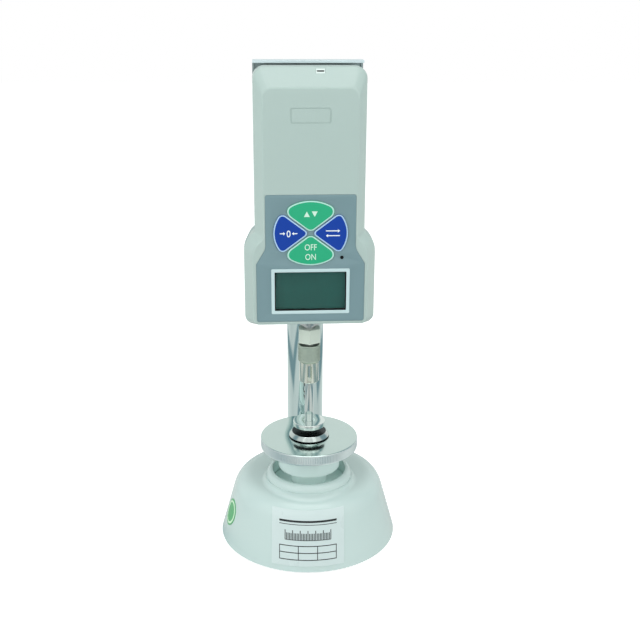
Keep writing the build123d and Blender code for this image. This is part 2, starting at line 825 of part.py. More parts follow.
with BuildPart() as gauge_shaft:
    with BuildSketch(stage_plane.offset(shaft_bottom_z)):
        Circle(shaft_d / 2)
    extrude(amount=cell_bottom_z - shaft_bottom_z)
    with BuildSketch(stage_plane.offset(cell_bottom_z)):
        Circle(cell_stud_d / 2 - run_gap)
    extrude(amount=cell_stud_len)
finish("gauge_shaft", gauge_shaft.part)
with BuildPart() as shaft_bush:
    with BuildSketch(stage_plane.offset(gauge_bottom_z)):
        Circle(bush_flange_d / 2)
    extrude(amount=-bush_flange_t)
    with BuildSketch(stage_plane.offset(gauge_bottom_z)):
        Circle(bush_d / 2)
    extrude(amount=bush_h)
    with BuildSketch(stage_plane.offset(gauge_bottom_z - bush_flange_t)):
        Circle(shaft_d / 2 + run_gap)
    extrude(amount=bush_flange_t + bush_h, mode=Mode.SUBTRACT)
finish("shaft_bush", shaft_bush.part)

# Front half of the gauge body
depth_front = gauge_shoulder_y - gauge_front_y
inner_share = (gauge_shoulder_y - wall_inner_y) / depth_front
inner_side = plateau_side * inner_share + gauge_wall
inner_top = plateau_top * inner_share + gauge_wall
inner_bottom = plateau_bottom * inner_share + gauge_wall
window_w = frame_w - 2 * frame_line
window_h = frame_h - 2 * frame_line
port_top_z = gauge_top_z - plateau_top * (gauge_shoulder_y - port_y + port_t / 2) / depth_front - port_sink
posts = [
    (side * x, z) for side in (-1, 1) for x, z in ((post_low_x, post_low_z), (post_high_x, post_high_z))
]
board_places = [
    (side * board_screw_x, z) for side in (-1, 1) for z in (board_screw_low_z, board_screw_high_z)
]
stem_places = [(x, keys_z + z) for x, z, turn in key_places.values()]
with BuildPart() as front_housing:
    extrude(gauge_outline(gauge_shoulder_y, 0, 0, 0), amount=gauge_shoulder_y - gauge_seam_y)
    loft(
        [
            gauge_outline(gauge_shoulder_y, 0, 0, 0),
            gauge_outline(gauge_front_y, plateau_side, plateau_top, plateau_bottom),
        ],
        ruled=True,
    )
    chamfer(front_housing.faces().sort_by(Axis.Y)[-1].outer_wire().edges(), seam_chamfer)
    fillet(front_housing.faces().sort_by(Axis.Y)[0].outer_wire().edges(), plateau_round)
    extrude(
        gauge_outline(gauge_shoulder_y, gauge_wall, gauge_wall, gauge_wall),
        amount=gauge_shoulder_y - gauge_seam_y,
        mode=Mode.SUBTRACT,
    )
    loft(
        [
            gauge_outline(gauge_shoulder_y, gauge_wall, gauge_wall, gauge_wall),
            gauge_outline(wall_inner_y, inner_side, inner_top, inner_bottom),
        ],
        ruled=True,
        mode=Mode.SUBTRACT,
    )
    extrude(panel_outline(gauge_front_y, slip_gap), amount=-panel_t, mode=Mode.SUBTRACT)
    for x, z, turn in key_places.values():
        well = key_petal(key_floor_y, turn, slip_gap)
        extrude(well, amount=key_floor_y - gauge_front_y, mode=Mode.SUBTRACT)
    with BuildSketch(front_plane(wall_inner_y)):
        with Locations(*stem_places):
            Circle(key_stem_d / 2 + slip_gap)
        with Locations((0, display_z)):
            Rectangle(window_w, window_h)
        with Locations((led_x, led_z)):
            Circle(led_d / 2 + run_gap)
    extrude(amount=gauge_wall, mode=Mode.SUBTRACT)
    with BuildSketch(front_plane(panel_floor_y)):
        with Locations((0, display_z)):
            Rectangle(window_w + 2 * (window_ledge + slip_gap), window_h + 2 * (window_ledge + slip_gap))
    extrude(amount=-window_t, mode=Mode.SUBTRACT)
    with BuildSketch(Plane.XY.offset(port_top_z - port_deep)):
        with Locations((port_x, port_y)):
            Rectangle(port_w, port_t)
    extrude(amount=gauge_top_z - port_top_z + port_deep, mode=Mode.SUBTRACT)
    with BuildSketch(front_plane(gauge_front_y)):
        with Locations((0, emboss_z)):
            RectangleRounded(emboss_w, emboss_h, emboss_round)
            RectangleRounded(
                emboss_w - 2 * emboss_line,
                emboss_h - 2 * emboss_line,
                emboss_round - emboss_line,
                mode=Mode.SUBTRACT,
            )
    extrude(amount=-emboss_depth, mode=Mode.SUBTRACT)
    with BuildSketch(front_plane(board_front_y)):
        with Locations(*board_places):
            Circle(board_post_d / 2)
    extrude(amount=board_front_y - wall_inner_y)
    with BuildSketch(front_plane(gauge_seam_y)):
        with Locations(*posts):
            Circle(post_d / 2)
    extrude(amount=gauge_seam_y - post_end_y)
    with BuildSketch(front_plane(board_front_y)):
        with Locations(*board_places):
            Circle(screw2_d / 2)
    extrude(amount=board_screw_len - board_t, mode=Mode.SUBTRACT)
    with BuildSketch(front_plane(gauge_seam_y)):
        with Locations(*posts):
            Circle(screw3_d / 2)
    extrude(amount=post_screw_depth, mode=Mode.SUBTRACT)
    with BuildSketch(stage_plane.offset(gauge_bottom_z)):
        Circle(bush_d / 2 + run_gap)
    extrude(amount=bush_h, mode=Mode.SUBTRACT)
finish("front_housing", front_housing.part)

# Rear half of the gauge body, and the screws that join the halves
back_share = (back_wall_y - gauge_seam_y) / (gauge_back_y - gauge_seam_y)
inner_draft = back_draft * back_share + gauge_wall
post_screw_planes = spots(back_plane(gauge_back_y - post_screw_sink), posts)
tray_screw_places = [
    (side * tray_screw_x, z) for side in (-1, 1) for z in (tray_screw_low_z, tray_screw_high_z)
]
with BuildPart() as rear_housing:
    loft(
        [
            gauge_outline(gauge_seam_y, seam_chamfer, seam_chamfer, seam_chamfer),
            gauge_outline(gauge_seam_y + seam_chamfer, 0, 0, 0),
            gauge_outline(gauge_back_y - back_round, back_draft, back_draft, back_draft),
            gauge_outline(gauge_back_y, *[back_draft + back_round] * 3),
        ],
        ruled=True,
    )
    loft(
        [
            gauge_outline(gauge_seam_y, gauge_wall, gauge_wall, gauge_wall),
            gauge_outline(back_wall_y, inner_draft, inner_draft, inner_draft),
        ],
        ruled=True,
        mode=Mode.SUBTRACT,
    )
    with BuildSketch(front_plane(back_wall_y)):
        with Locations(*posts):
            Circle(post_d / 2)
    extrude(amount=back_wall_y - gauge_seam_y)
    with BuildSketch(front_plane(gauge_back_y)):
        with Locations(*tray_screw_places):
            Circle(screw4_d / 2 + slip_gap)
        with Locations(*posts):
            Circle(screw3_d / 2 + slip_gap)
    extrude(amount=gauge_back_y - gauge_seam_y, mode=Mode.SUBTRACT)
    with BuildSketch(front_plane(gauge_back_y)):
        with Locations(*posts):
            Circle(screw3_head_d / 2 + hole_gap)
    extrude(amount=post_screw_sink, mode=Mode.SUBTRACT)
    with BuildSketch(stage_plane.offset(gauge_bottom_z)):
        Circle(bush_d / 2 + run_gap)
    extrude(amount=bush_h, mode=Mode.SUBTRACT)
finish("rear_housing", rear_housing.part)
post_screw_len = gauge_back_y - post_screw_sink - gauge_seam_y + post_screw_depth - screw_end_gap
finish("housing_screws", screws(post_screw_planes, screw3_d, post_screw_len, screw3_head_d, screw3_head_h))

# Panel sheet, keys, display and dot light on the front
with BuildPart() as control_overlay:
    extrude(panel_outline(panel_floor_y, 0), amount=panel_t)
    for x, z, turn in key_places.values():
        extrude(key_petal(panel_floor_y, turn, slip_gap), amount=panel_t, mode=Mode.SUBTRACT)
    with BuildSketch(front_plane(panel_floor_y)):
        with Locations((0, display_z)):
            Rectangle(frame_w + 2 * run_gap, frame_h + 2 * run_gap)
        with Locations((led_x, led_z)):
            Circle(led_d / 2 + run_gap)
    extrude(amount=panel_t, mode=Mode.SUBTRACT)
finish("control_overlay", control_overlay.part)
for name, (x, z, turn) in key_places.items():
    with BuildPart() as key:
        extrude(key_petal(key_back_y, turn, 0), amount=key_t)
        with BuildSketch(front_plane(key_stem_end_y)):
            with Locations((x, keys_z + z)):
                Circle(key_stem_d / 2)
        extrude(amount=key_stem_end_y - key_back_y)
        fillet(key.faces().sort_by(Axis.Y)[0].outer_wire().edges(), key_edge)
    finish(name, key.part)
with BuildPart() as display_frame:
    with BuildSketch(front_plane(panel_floor_y)):
        with Locations((0, display_z)):
            RectangleRounded(frame_w, frame_h, frame_round)
            RectangleRounded(window_w, window_h, frame_round / 2, mode=Mode.SUBTRACT)
    extrude(amount=panel_t + frame_proud)
finish("display_frame", display_frame.part)
with BuildPart() as display_window:
    with BuildSketch(front_plane(panel_floor_y)):
        with Locations((0, display_z)):
            Rectangle(window_w + 2 * window_ledge, window_h + 2 * window_ledge)
    extrude(amount=-window_t)
finish("display_window", display_window.part)
with BuildPart() as lcd_module:
    with BuildSketch(front_plane(board_front_y)):
        with Locations((0, display_z)):
            Rectangle(lcd_w, lcd_h)
    extrude(amount=lcd_t)
finish("lcd_module", lcd_module.part)
led_plane = Plane(origin=(led_x, board_front_y, led_z), x_dir=(1, 0, 0), z_dir=(0, -1, 0))
finish("indicator_led", rod(led_plane, led_d, board_front_y - gauge_front_y))

# Circuit board with its screws and the four switches under the keys
with BuildPart() as main_board:
    with BuildSketch(front_plane(board_back_y)):
        with Locations((0, (board_bottom_z + board_top_z) / 2)):
            Rectangle(board_w, board_top_z - board_bottom_z)
        with Locations(*board_places):
            Circle(screw2_d / 2 + slip_gap, mode=Mode.SUBTRACT)
    extrude(amount=board_t)
finish("main_board", main_board.part)
board_screw_planes = spots(back_plane(board_back_y), board_places)
finish(
    "board_screws",
    screws(board_screw_planes, screw2_d, board_screw_len - run_gap, screw2_head_d, screw2_head_h),
)
with BuildPart() as key_switches:
    with BuildSketch(front_plane(board_front_y)):
        with Locations(*stem_places):
            Rectangle(switch_w, switch_w)
    extrude(amount=switch_h)
    with BuildSketch(front_plane(board_front_y)):
        with Locations(*stem_places):
            Circle(switch_tip_d / 2)
    extrude(amount=switch_h + switch_tip_h)
finish("key_switches", key_switches.part)

# Force path in the gauge: chassis with its ledge, load cell and bolts
ledge_front_y = stage_y - cell_t / 2
ledge_bolt_places = [(-bolt5_x, 0), (bolt5_x, 0)]
ledge_bolt_planes = spots(stage_plane.offset(cell_top_z + ledge_t), ledge_bolt_places)
with BuildPart() as chassis:
    with BuildSketch(front_plane(back_wall_y)):
        with Locations((0, (chassis_bottom_z + chassis_top_z) / 2)):
            Rectangle(chassis_w, chassis_top_z - chassis_bottom_z)
    extrude(amount=chassis_t)
    with BuildSketch(front_plane(chassis_front_y)):
        with Locations((0, cell_top_z + ledge_t / 2)):
            Rectangle(ledge_w, ledge_t)
    extrude(amount=chassis_front_y - ledge_front_y)
    with BuildSketch(front_plane(back_wall_y)):
        with Locations(*tray_screw_places):
            Circle(screw4_d / 2)
    extrude(amount=chassis_t, mode=Mode.SUBTRACT)
    with BuildSketch(*ledge_bolt_planes):
        Circle(bolt5_d / 2 + slip_gap)
    extrude(amount=-ledge_t, mode=Mode.SUBTRACT)
finish("chassis", chassis.part)
cell_z = cell_top_z - cell_h / 2
slot_shift = (cell_w - cell_slot_len) / 2
with BuildPart() as load_cell:
    with BuildSketch(front_plane(stage_y + cell_t / 2)):
        with Locations((0, cell_z)):
            Rectangle(cell_w, cell_h)
            Circle(cell_core_d / 2, mode=Mode.SUBTRACT)
        with Locations((slot_shift, cell_z + cell_slot_z), (-slot_shift, cell_z - cell_slot_z)):
            Rectangle(cell_slot_len, cell_slot_h, mode=Mode.SUBTRACT)
    extrude(amount=cell_t)
    with BuildSketch(*[p.offset(-ledge_t) for p in ledge_bolt_planes]):
        Circle(bolt5_d / 2)
    extrude(amount=-bolt5_depth, mode=Mode.SUBTRACT)
    with BuildSketch(stage_plane.offset(cell_bottom_z)):
        Circle(cell_stud_d / 2)
    extrude(amount=cell_stud_len, mode=Mode.SUBTRACT)
finish("load_cell", load_cell.part)
bolt5_reach = ledge_t + bolt5_depth - screw_end_gap
finish(
    "load_cell_bolts",
    screws(ledge_bolt_planes, bolt5_d, bolt5_reach, bolt5_head_d, bolt5_head_h, "cap"),
)
battery_y = chassis_front_y - battery_d / 2 - seat_gap
with BuildPart() as battery_cells:
    for i in range(battery_count):
        battery_z = battery_low_z + i * battery_pitch
        with BuildSketch(Plane(origin=(-battery_len / 2, battery_y, battery_z), z_dir=(1, 0, 0))):
            Circle(battery_d / 2)
        extrude(amount=battery_len)
finish("battery_cells", battery_cells.part)

# Socket of the data port
with BuildPart() as usb_socket:
    with BuildSketch(Plane.XY.offset(port_top_z - port_deep)):
        with Locations((port_x, port_y)):
            Rectangle(port_w - 2 * slip_gap, port_t - 2 * slip_gap)
    extrude(amount=port_deep)
    with BuildSketch(Plane.XY.offset(port_top_z)):
        with Locations((port_x, port_y)):
            Rectangle(port_w - 2 * (slip_gap + port_rim), port_t - 2 * (slip_gap + port_rim))
    extrude(amount=-port_mouth_deep, mode=Mode.SUBTRACT)
finish("usb_socket", usb_socket.part)

# Bent tray behind the gauge and the screws through it
tray_half = tray_w / 2
clamp_places = [(side * mount_screw_x, z) for side in (-1, 1) for z in (mount_low_z, mount_high_z)]
with BuildPart() as gauge_tray:
    with BuildSketch(front_plane(tray_back_y)):
        with Locations((0, (tray_bottom_z + tray_top_z) / 2)):
            Rectangle(tray_w, tray_top_z - tray_bottom_z)
    extrude(amount=tray_t)
    fillet(gauge_tray.edges().filter_by(Axis.Y).group_by(Axis.Z)[0], tray_corner)
    with BuildSketch(Plane.XY.offset(tray_top_z)):
        with Locations((0, tray_back_y - tray_roof_depth / 2)):
            Rectangle(tray_w, tray_roof_depth)
    extrude(amount=-tray_t)
    fillet(gauge_tray.edges().filter_by(Axis.X).sort_by(Axis.Y)[-4:].sort_by(Axis.Z)[-1], tray_t)
    with BuildSketch(front_plane(tray_back_y)):
        with Locations(
            (-tray_half + tray_t / 2, (tray_lip_bottom_z + lip_top_z) / 2),
            (tray_half - tray_t / 2, (tray_lip_bottom_z + lip_top_z) / 2),
        ):
            Rectangle(tray_t, lip_top_z - tray_lip_bottom_z)
    extrude(amount=tray_lip_depth)
    with BuildSketch(front_plane(tray_back_y)):
        with Locations(*tray_screw_places):
            Circle(screw4_d / 2 + slip_gap)
    extrude(amount=tray_t, mode=Mode.SUBTRACT)
    with Locations(*spots(front_plane(tray_front_y), clamp_places)):
        CounterSinkHole(screw4_d / 2 + slip_gap, mount_head_d / 2 + slip_gap, depth=tray_t)
finish("gauge_tray", gauge_tray.part)
tray_screw_planes = spots(back_plane(tray_back_y), tray_screw_places)
finish("tray_screws", screws(tray_screw_planes, screw4_d, tray_screw_len, pan_head_d, pan_head_h))

# Split clamp on the pillar, and its screws
slit_len = clamp_back_y - column_y
with BuildPart() as column_clamp:
    with BuildSketch(Plane.XY.offset(clamp_bottom_z)):
        with Locations((0, (tray_back_y + clamp_back_y) / 2)):
            Rectangle(clamp_w, clamp_back_y - tray_back_y)
    extrude(amount=clamp_h)
    fillet(column_clamp.edges().filter_by(Axis.Z).group_by(Axis.Y)[-1], clamp_round)
    with BuildSketch(column_plane.offset(clamp_bottom_z)):
        Circle(column_d / 2 + run_gap)
        with Locations((0, slit_len / 2)):
            Rectangle(clamp_slit, slit_len)
    extrude(amount=clamp_h, mode=Mode.SUBTRACT)
    with Locations(*spots(front_plane(tray_back_y), clamp_places)):
        Hole(screw4_d / 2, depth=mount_screw_len - tray_t)
    with BuildSketch(*clamp_screw_planes):
        Circle(clamp_head_d / 2 + slip_gap)
    extrude(amount=clamp_head_h + clamp_head_sink, mode=Mode.SUBTRACT)
    with BuildSketch(*clamp_screw_planes):
        Circle(screw4_d / 2)
    extrude(amount=-clamp_screw_len, mode=Mode.SUBTRACT)
finish("column_clamp", column_clamp.part)
finish(
    "clamp_screws",
    screws(clamp_screw_planes, screw4_d, clamp_screw_len, clamp_head_d, clamp_head_h, "cap"),
)
mount_screw_planes = spots(front_plane(tray_front_y), clamp_places)
mount_screw_reach = mount_screw_len - screw_end_gap
finish(
    "clamp_plate_screws",
    screws(mount_screw_planes, screw4_d, mount_screw_reach, mount_head_d, mount_head_h, "sunk"),
)

# Thin label and sticker that follow the casting's skin
with BuildPart() as rating_label:
    revolve(casting_section(-label_t, label_turn - label_angle / 2), axis=Axis.Z, revolution_arc=label_angle)
    revolve(casting_section(0), axis=Axis.Z, mode=Mode.SUBTRACT)
    with BuildSketch(Plane.XY.offset(label_low_z)):
        Circle(base_d)
    extrude(amount=label_high_z - label_low_z, mode=Mode.INTERSECT)
finish("rating_label", rating_label.part)
lean = atan2(base_r - flank_r, flank_top_z - rim_z)
aim = radians(sticker_turn)
sticker_axis = (cos(aim) * cos(lean), sin(aim) * cos(lean), sin(lean))
with BuildPart() as inspection_sticker:
    revolve(casting_section(-sticker_t), axis=Axis.Z)
    revolve(casting_section(0), axis=Axis.Z, mode=Mode.SUBTRACT)
    sticker_r = base_r - (sticker_z - rim_z) * flank_slope
    sticker_spot = (sticker_r * cos(aim), sticker_r * sin(aim), sticker_z)
    with BuildSketch(Plane(origin=sticker_spot, z_dir=sticker_axis)):
        Circle(sticker_d / 2)
    extrude(amount=base_wall, both=True, mode=Mode.INTERSECT)
finish("inspection_sticker", inspection_sticker.part)
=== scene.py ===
import logging
from dataclasses import dataclass
from enum import Enum
from typing import Callable, Optional, Sequence, Union

import bmesh
import bpy
import numpy as np
from mathutils import Matrix, Vector


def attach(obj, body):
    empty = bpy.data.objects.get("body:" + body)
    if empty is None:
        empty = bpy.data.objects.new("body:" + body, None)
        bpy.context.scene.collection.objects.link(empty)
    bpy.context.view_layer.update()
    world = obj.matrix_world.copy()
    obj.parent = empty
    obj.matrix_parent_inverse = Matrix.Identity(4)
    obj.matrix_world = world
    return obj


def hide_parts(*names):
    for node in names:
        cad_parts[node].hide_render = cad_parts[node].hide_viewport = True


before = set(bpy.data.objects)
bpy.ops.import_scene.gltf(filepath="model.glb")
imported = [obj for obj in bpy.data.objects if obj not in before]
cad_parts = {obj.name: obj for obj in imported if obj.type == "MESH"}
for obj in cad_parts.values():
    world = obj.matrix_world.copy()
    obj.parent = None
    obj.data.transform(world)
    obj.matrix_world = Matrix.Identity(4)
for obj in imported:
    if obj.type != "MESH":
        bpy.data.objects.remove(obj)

LOG = logging.getLogger("grain_hardness_tester")
# A millimetre in metres, a whole turn, and the depths of the stage's and the pillar's axes
MM = 0.001
TURN = 2.0 * np.pi
STAGE_Y = -12.0
COLUMN_Y = 40.0
# Distance in metres under which points are merged, and the smallest face kept in square metres
WELD = 1e-7
SLIVER = 1e-14
Colour = tuple[float, float, float]
Sides = tuple[float, float, float, float]
Profile = Sequence[tuple[float, float]]
ShapeRule = Callable[[np.ndarray, np.ndarray, np.ndarray], np.ndarray]
FaceRule = Callable[[np.ndarray], np.ndarray]


class Flow(Enum):
    """How the fine lines of a worked metal surface run."""

    TURNED = "turned"
    UPRIGHT = "upright"
    POLISHED = "polished"


class Body(Enum):
    """Moving bodies of the tester that pieces ride on."""

    BASE = "base"
    ANVIL = "anvil"
    WHEEL = "stage_wheel"
    SET = "key_set"
    ZERO = "key_zero"
    UNIT = "key_unit"
    POWER = "key_power"


# Outlines


def rounded_line(
    points: Profile, radii: Sequence[float], steps: int = 6, closed: bool = False
) -> np.ndarray:
    """Line whose corners are circular arcs that touch both their sides.

    At each corner the arc's centre lies on the bisector, radius / sin(half angle) from the corner.

    Args:
        points: Corners of the line.
        radii: Radius at each corner, where 0 keeps it sharp.
        steps: Spans in each arc.
        closed: Whether the last corner joins the first.

    Returns:
        Array of points, one row each.
    """
    corners = np.asarray(points, float)
    count = len(corners)
    runs = []
    for i, corner in enumerate(corners):
        at_end = not closed and i in (0, count - 1)
        if radii[i] <= 0.0 or at_end:
            runs.append(corner[None])
            continue
        back = corners[i - 1] - corner
        ahead = corners[(i + 1) % count] - corner
        back /= np.linalg.norm(back)
        ahead /= np.linalg.norm(ahead)
        if np.linalg.norm(back + ahead) < 1e-6:
            runs.append(np.repeat(corner[None], steps + 1, 0))
            continue
        half = 0.5 * np.arccos(np.clip(back @ ahead, -1.0, 1.0))
        reach = radii[i] / np.tan(half)
        centre = corner + (back + ahead) / np.linalg.norm(back + ahead) * radii[i] / np.sin(half)
        first = corner + back * reach - centre
        last = corner + ahead * reach - centre
        start = np.arctan2(first[1], first[0])
        sweep = np.mod(np.arctan2(last[1], last[0]) - start + np.pi, TURN) - np.pi
        angle = start + sweep * np.linspace(0.0, 1.0, steps + 1)
        runs.append(centre + radii[i] * np.stack([np.cos(angle), np.sin(angle)], 1))
    return np.concatenate(runs)


def dense(profile: np.ndarray, step: float) -> np.ndarray:
    """Profile with extra points, so that no two lie further apart than step.

    Args:
        profile: Rows of radius and height.
        step: Greatest distance between points.

    Returns:
        Array of points, one row each.
    """
    pieces = [profile[:1]]
    for start, end in zip(profile[:-1], profile[1:]):
        count = max(1, int(np.ceil(np.linalg.norm(end - start) / step)))
        pieces.append(start + (end - start) * np.linspace(0.0, 1.0, count + 1)[1:, None])
    return np.concatenate(pieces)


def circle(radius: float, count: int = 32) -> np.ndarray:
    """Points of a circle about nought, two columns."""
    angle = np.linspace(0.0, TURN, count, endpoint=False)
    return radius * np.stack([np.cos(angle), np.sin(angle)], 1)


def rectangle(x: float, z: float, width: float, height: float, radius: float) -> np.ndarray:
    """Upright rectangle with rounded corners.

    Args:
        x: Middle across.
        z: Middle upwards.
        width: Whole width.
        height: Whole height.
        radius: Radius of the corners.

    Returns:
        Rows of x and z in millimetres.
    """
    right, up = width / 2.0, height / 2.0
    corners = [(x - right, z - up), (x + right, z - up), (x + right, z + up), (x - right, z + up)]
    return rounded_line(corners, [radius] * 4, 5, True)


def round_meet(first: np.ndarray, second: np.ndarray, radius: float) -> np.ndarray:
    """Distance to where two shapes overlap, with a rounded corner.

    It is the lesser of minus the radius and the larger distance, plus the length of the two
    distances that come within the radius.

    Args:
        first: Distances to the first shape, negative inside it.
        second: Distances to the second shape.
        radius: Radius of the corner between them.

    Returns:
        Distances to the overlap.
    """
    deep = np.minimum(-radius, np.maximum(first, second))
    return deep + np.hypot(np.maximum(radius + first, 0.0), np.maximum(radius + second, 0.0))


# Meshes


def shade(mesh: bpy.types.Mesh, smooth: float) -> None:
    """Shade a mesh smooth, apart from edges sharper than an angle in degrees."""
    mesh.polygons.foreach_set("use_smooth", np.ones(len(mesh.polygons), bool))
    mesh.set_sharp_from_angle(angle=np.radians(smooth))


def add_object(name: str, data: bpy.types.ID) -> bpy.types.Object:
    """Object that holds a mesh, curve, lamp or camera, linked into the scene.

    Args:
        name: Name of the object.
        data: What it holds.

    Returns:
        The new object.
    """
    thing = bpy.data.objects.new(name, data)
    bpy.context.scene.collection.objects.link(thing)
    return thing


def finish_mesh(
    name: str, mesh: bpy.types.Mesh, smooth: float, drop_slivers: bool = False
) -> bpy.types.Object:
    """Object from a mesh whose doubles are merged and whose faces point outwards.

    Args:
        name: Name of the object.
        mesh: Mesh with its place already in it.
        smooth: Angle in degrees up to which edges are shaded soft.
        drop_slivers: Whether faces without any area are deleted.

    Returns:
        The new object.
    """
    tidy = bmesh.new()
    tidy.from_mesh(mesh)
    bmesh.ops.remove_doubles(tidy, verts=tidy.verts, dist=WELD)
    if drop_slivers:
        slivers = [face for face in tidy.faces if face.calc_area() < SLIVER]
        bmesh.ops.delete(tidy, geom=slivers, context="FACES")
    bmesh.ops.recalc_face_normals(tidy, faces=tidy.faces)
    tidy.to_mesh(mesh)
    tidy.free()
    mesh.name = name
    shade(mesh, smooth)
    return add_object(name, mesh)


def link_mesh(
    name: str, points: np.ndarray, faces: np.ndarray, smooth: float = 30.0
) -> bpy.types.Object:
    """Object made of points in millimetres and faces, closed up and facing outwards.

    Args:
        name: Name of the object and its mesh.
        points: Array of corners, three columns.
        faces: Array of corner numbers, one row a face.
        smooth: Angle in degrees up to which edges are shaded soft.

    Returns:
        The new object, linked into the scene.
    """
    mesh = bpy.data.meshes.new(name)
    mesh.from_pydata((np.asarray(points, float) * MM).tolist(), [], np.asarray(faces).tolist())
    return finish_mesh(name, mesh, smooth, True)


def skin(
    name: str, grid: np.ndarray, loop_rows: bool = False, smooth: float = 30.0
) -> bpy.types.Object:
    """Surface over a grid of points whose columns close into a ring.

    Args:
        name: Name of the object.
        grid: Array of rows by columns by three, in millimetres.
        loop_rows: Whether the last row also joins the first.
        smooth: Angle in degrees up to which edges are shaded soft.

    Returns:
        The new object.
    """
    rows, columns = grid.shape[:2]
    number = np.arange(rows * columns).reshape(rows, columns)
    low = number if loop_rows else number[:-1]
    high = np.roll(number, -1, 0) if loop_rows else number[1:]
    faces = np.stack([low, np.roll(low, -1, 1), np.roll(high, -1, 1), high], -1).reshape(-1, 4)
    return link_mesh(name, grid.reshape(-1, 3), faces, smooth)


def lathe(
    name: str,
    profile: np.ndarray,
    centre_y: float,
    spans: int = 160,
    shape: Optional[ShapeRule] = None,
    loop: bool = False,
    smooth: float = 30.0,
) -> bpy.types.Object:
    """Solid of revolution about an upright axis through x = 0 and y = centre_y.

    A point of the profile (r, z) sweeps x = r cos a and y = centre_y + r sin a. Where shape is
    given, it turns the radius, angle and height of each point into its final radius.

    Args:
        name: Name of the object.
        profile: Rows of radius and height in millimetres.
        centre_y: Where the axis stands.
        spans: Number of steps in a turn.
        shape: Optional function of radius, angle and height.
        loop: Whether the profile closes on itself, as for a tube.
        smooth: Angle in degrees up to which edges are shaded soft.

    Returns:
        The new object.
    """
    angle = np.linspace(0.0, TURN, spans, endpoint=False)[None, :]
    radius = np.repeat(profile[:, :1], spans, 1)
    height = np.repeat(profile[:, 1:], spans, 1)
    if shape is not None:
        radius = shape(radius, np.broadcast_to(angle, radius.shape), height)
    grid = np.stack([radius * np.cos(angle), centre_y + radius * np.sin(angle), height], -1)
    return skin(name, grid, loop, smooth)


def pin(name: str, x: float, z: float, rows: Profile, loop: bool = False) -> bpy.types.Object:
    """Solid of revolution about an axis that runs from front to back.

    A row of radius r and depth y sweeps x + r cos a, y and z + r sin a.

    Args:
        name: Name of the object.
        x: Place of the axis across.
        z: Height of the axis.
        rows: Pairs of radius and depth in millimetres.
        loop: Whether the rows close on themselves, as for a tube.

    Returns:
        The new object.
    """
    rings = []
    for radius, y in rows:
        ring = circle(radius)
        rings.append(np.stack([x + ring[:, 0], np.full(len(ring), y), z + ring[:, 1]], 1))
    return skin(name, np.stack(rings), loop)


def plate(
    name: str,
    outlines: Sequence[np.ndarray],
    front_y: float,
    thick: float,
    edge: float = 0.0,
    edge_steps: int = 2,
) -> bpy.types.Object:
    """Flat plate in an upright plane, with holes, that faces the front.

    Args:
        name: Name of the object.
        outlines: The outer outline and any holes, rows of x and z in millimetres.
        front_y: Depth of the front face.
        thick: Thickness, towards the back.
        edge: Radius of the rounded edges.
        edge_steps: Spans in a rounded edge.

    Returns:
        The new object.
    """
    curve = bpy.data.curves.new(name, "CURVE")
    curve.dimensions = "2D"
    curve.fill_mode = "BOTH"
    for outline in outlines:
        spline = curve.splines.new("POLY")
        spline.points.add(len(outline) - 1)
        flat = np.zeros((len(outline), 4))
        flat[:, :2] = outline * MM
        flat[:, 3] = 1.0
        spline.points.foreach_set("co", flat.ravel())
        spline.use_cyclic_u = True
    curve.offset = -edge * MM
    curve.bevel_depth = edge * MM
    curve.bevel_resolution = edge_steps
    curve.extrude = (thick / 2.0 - edge) * MM
    holder = add_object(name, curve)
    mesh = bpy.data.meshes.new_from_object(holder)
    bpy.data.objects.remove(holder)
    middle = Matrix.Translation((0.0, (front_y + thick / 2.0) * MM, 0.0))
    mesh.transform(middle @ Matrix.Rotation(np.pi / 2.0, 4, "X"))
    return finish_mesh(name, mesh, 40.0)


def upright_block(name: str, sides: Sides, low: float, high: float) -> bpy.types.Object:
    """Block with upright sides.

    Args:
        name: Name of the object.
        sides: Its left, right, front and back in millimetres.
        low: Height of its bottom.
        high: Height of its top.

    Returns:
        The new object.
    """
    left, right, front, back = sides
    ring = np.array([(left, front), (right, front), (right, back), (left, back)])
    rows = [np.column_stack([ring, np.full(4, z)]) for z in (low, high)]
    ends = [np.tile(row.mean(0), (4, 1)) for row in rows]
    return skin(name, np.stack([ends[0], *rows, ends[1]]))


def carve(thing: bpy.types.Object, cutters: Sequence[bpy.types.Object]) -> None:
    """Cut solids out of a piece for good and remove the cutters.

    Args:
        thing: Piece to be cut.
        cutters: Closed solids that are taken away.
    """
    for cutter in cutters:
        cut = thing.modifiers.new(cutter.name, "BOOLEAN")
        cut.operation = "DIFFERENCE"
        cut.solver = "EXACT"
        cut.object = cutter
    bpy.context.view_layer.update()
    graph = bpy.context.evaluated_depsgraph_get()
    mesh = bpy.data.meshes.new_from_object(thing.evaluated_get(graph))
    thing.modifiers.clear()
    thing.data = mesh
    shade(mesh, 30.0)
    for cutter in cutters:
        bpy.data.objects.remove(cutter)


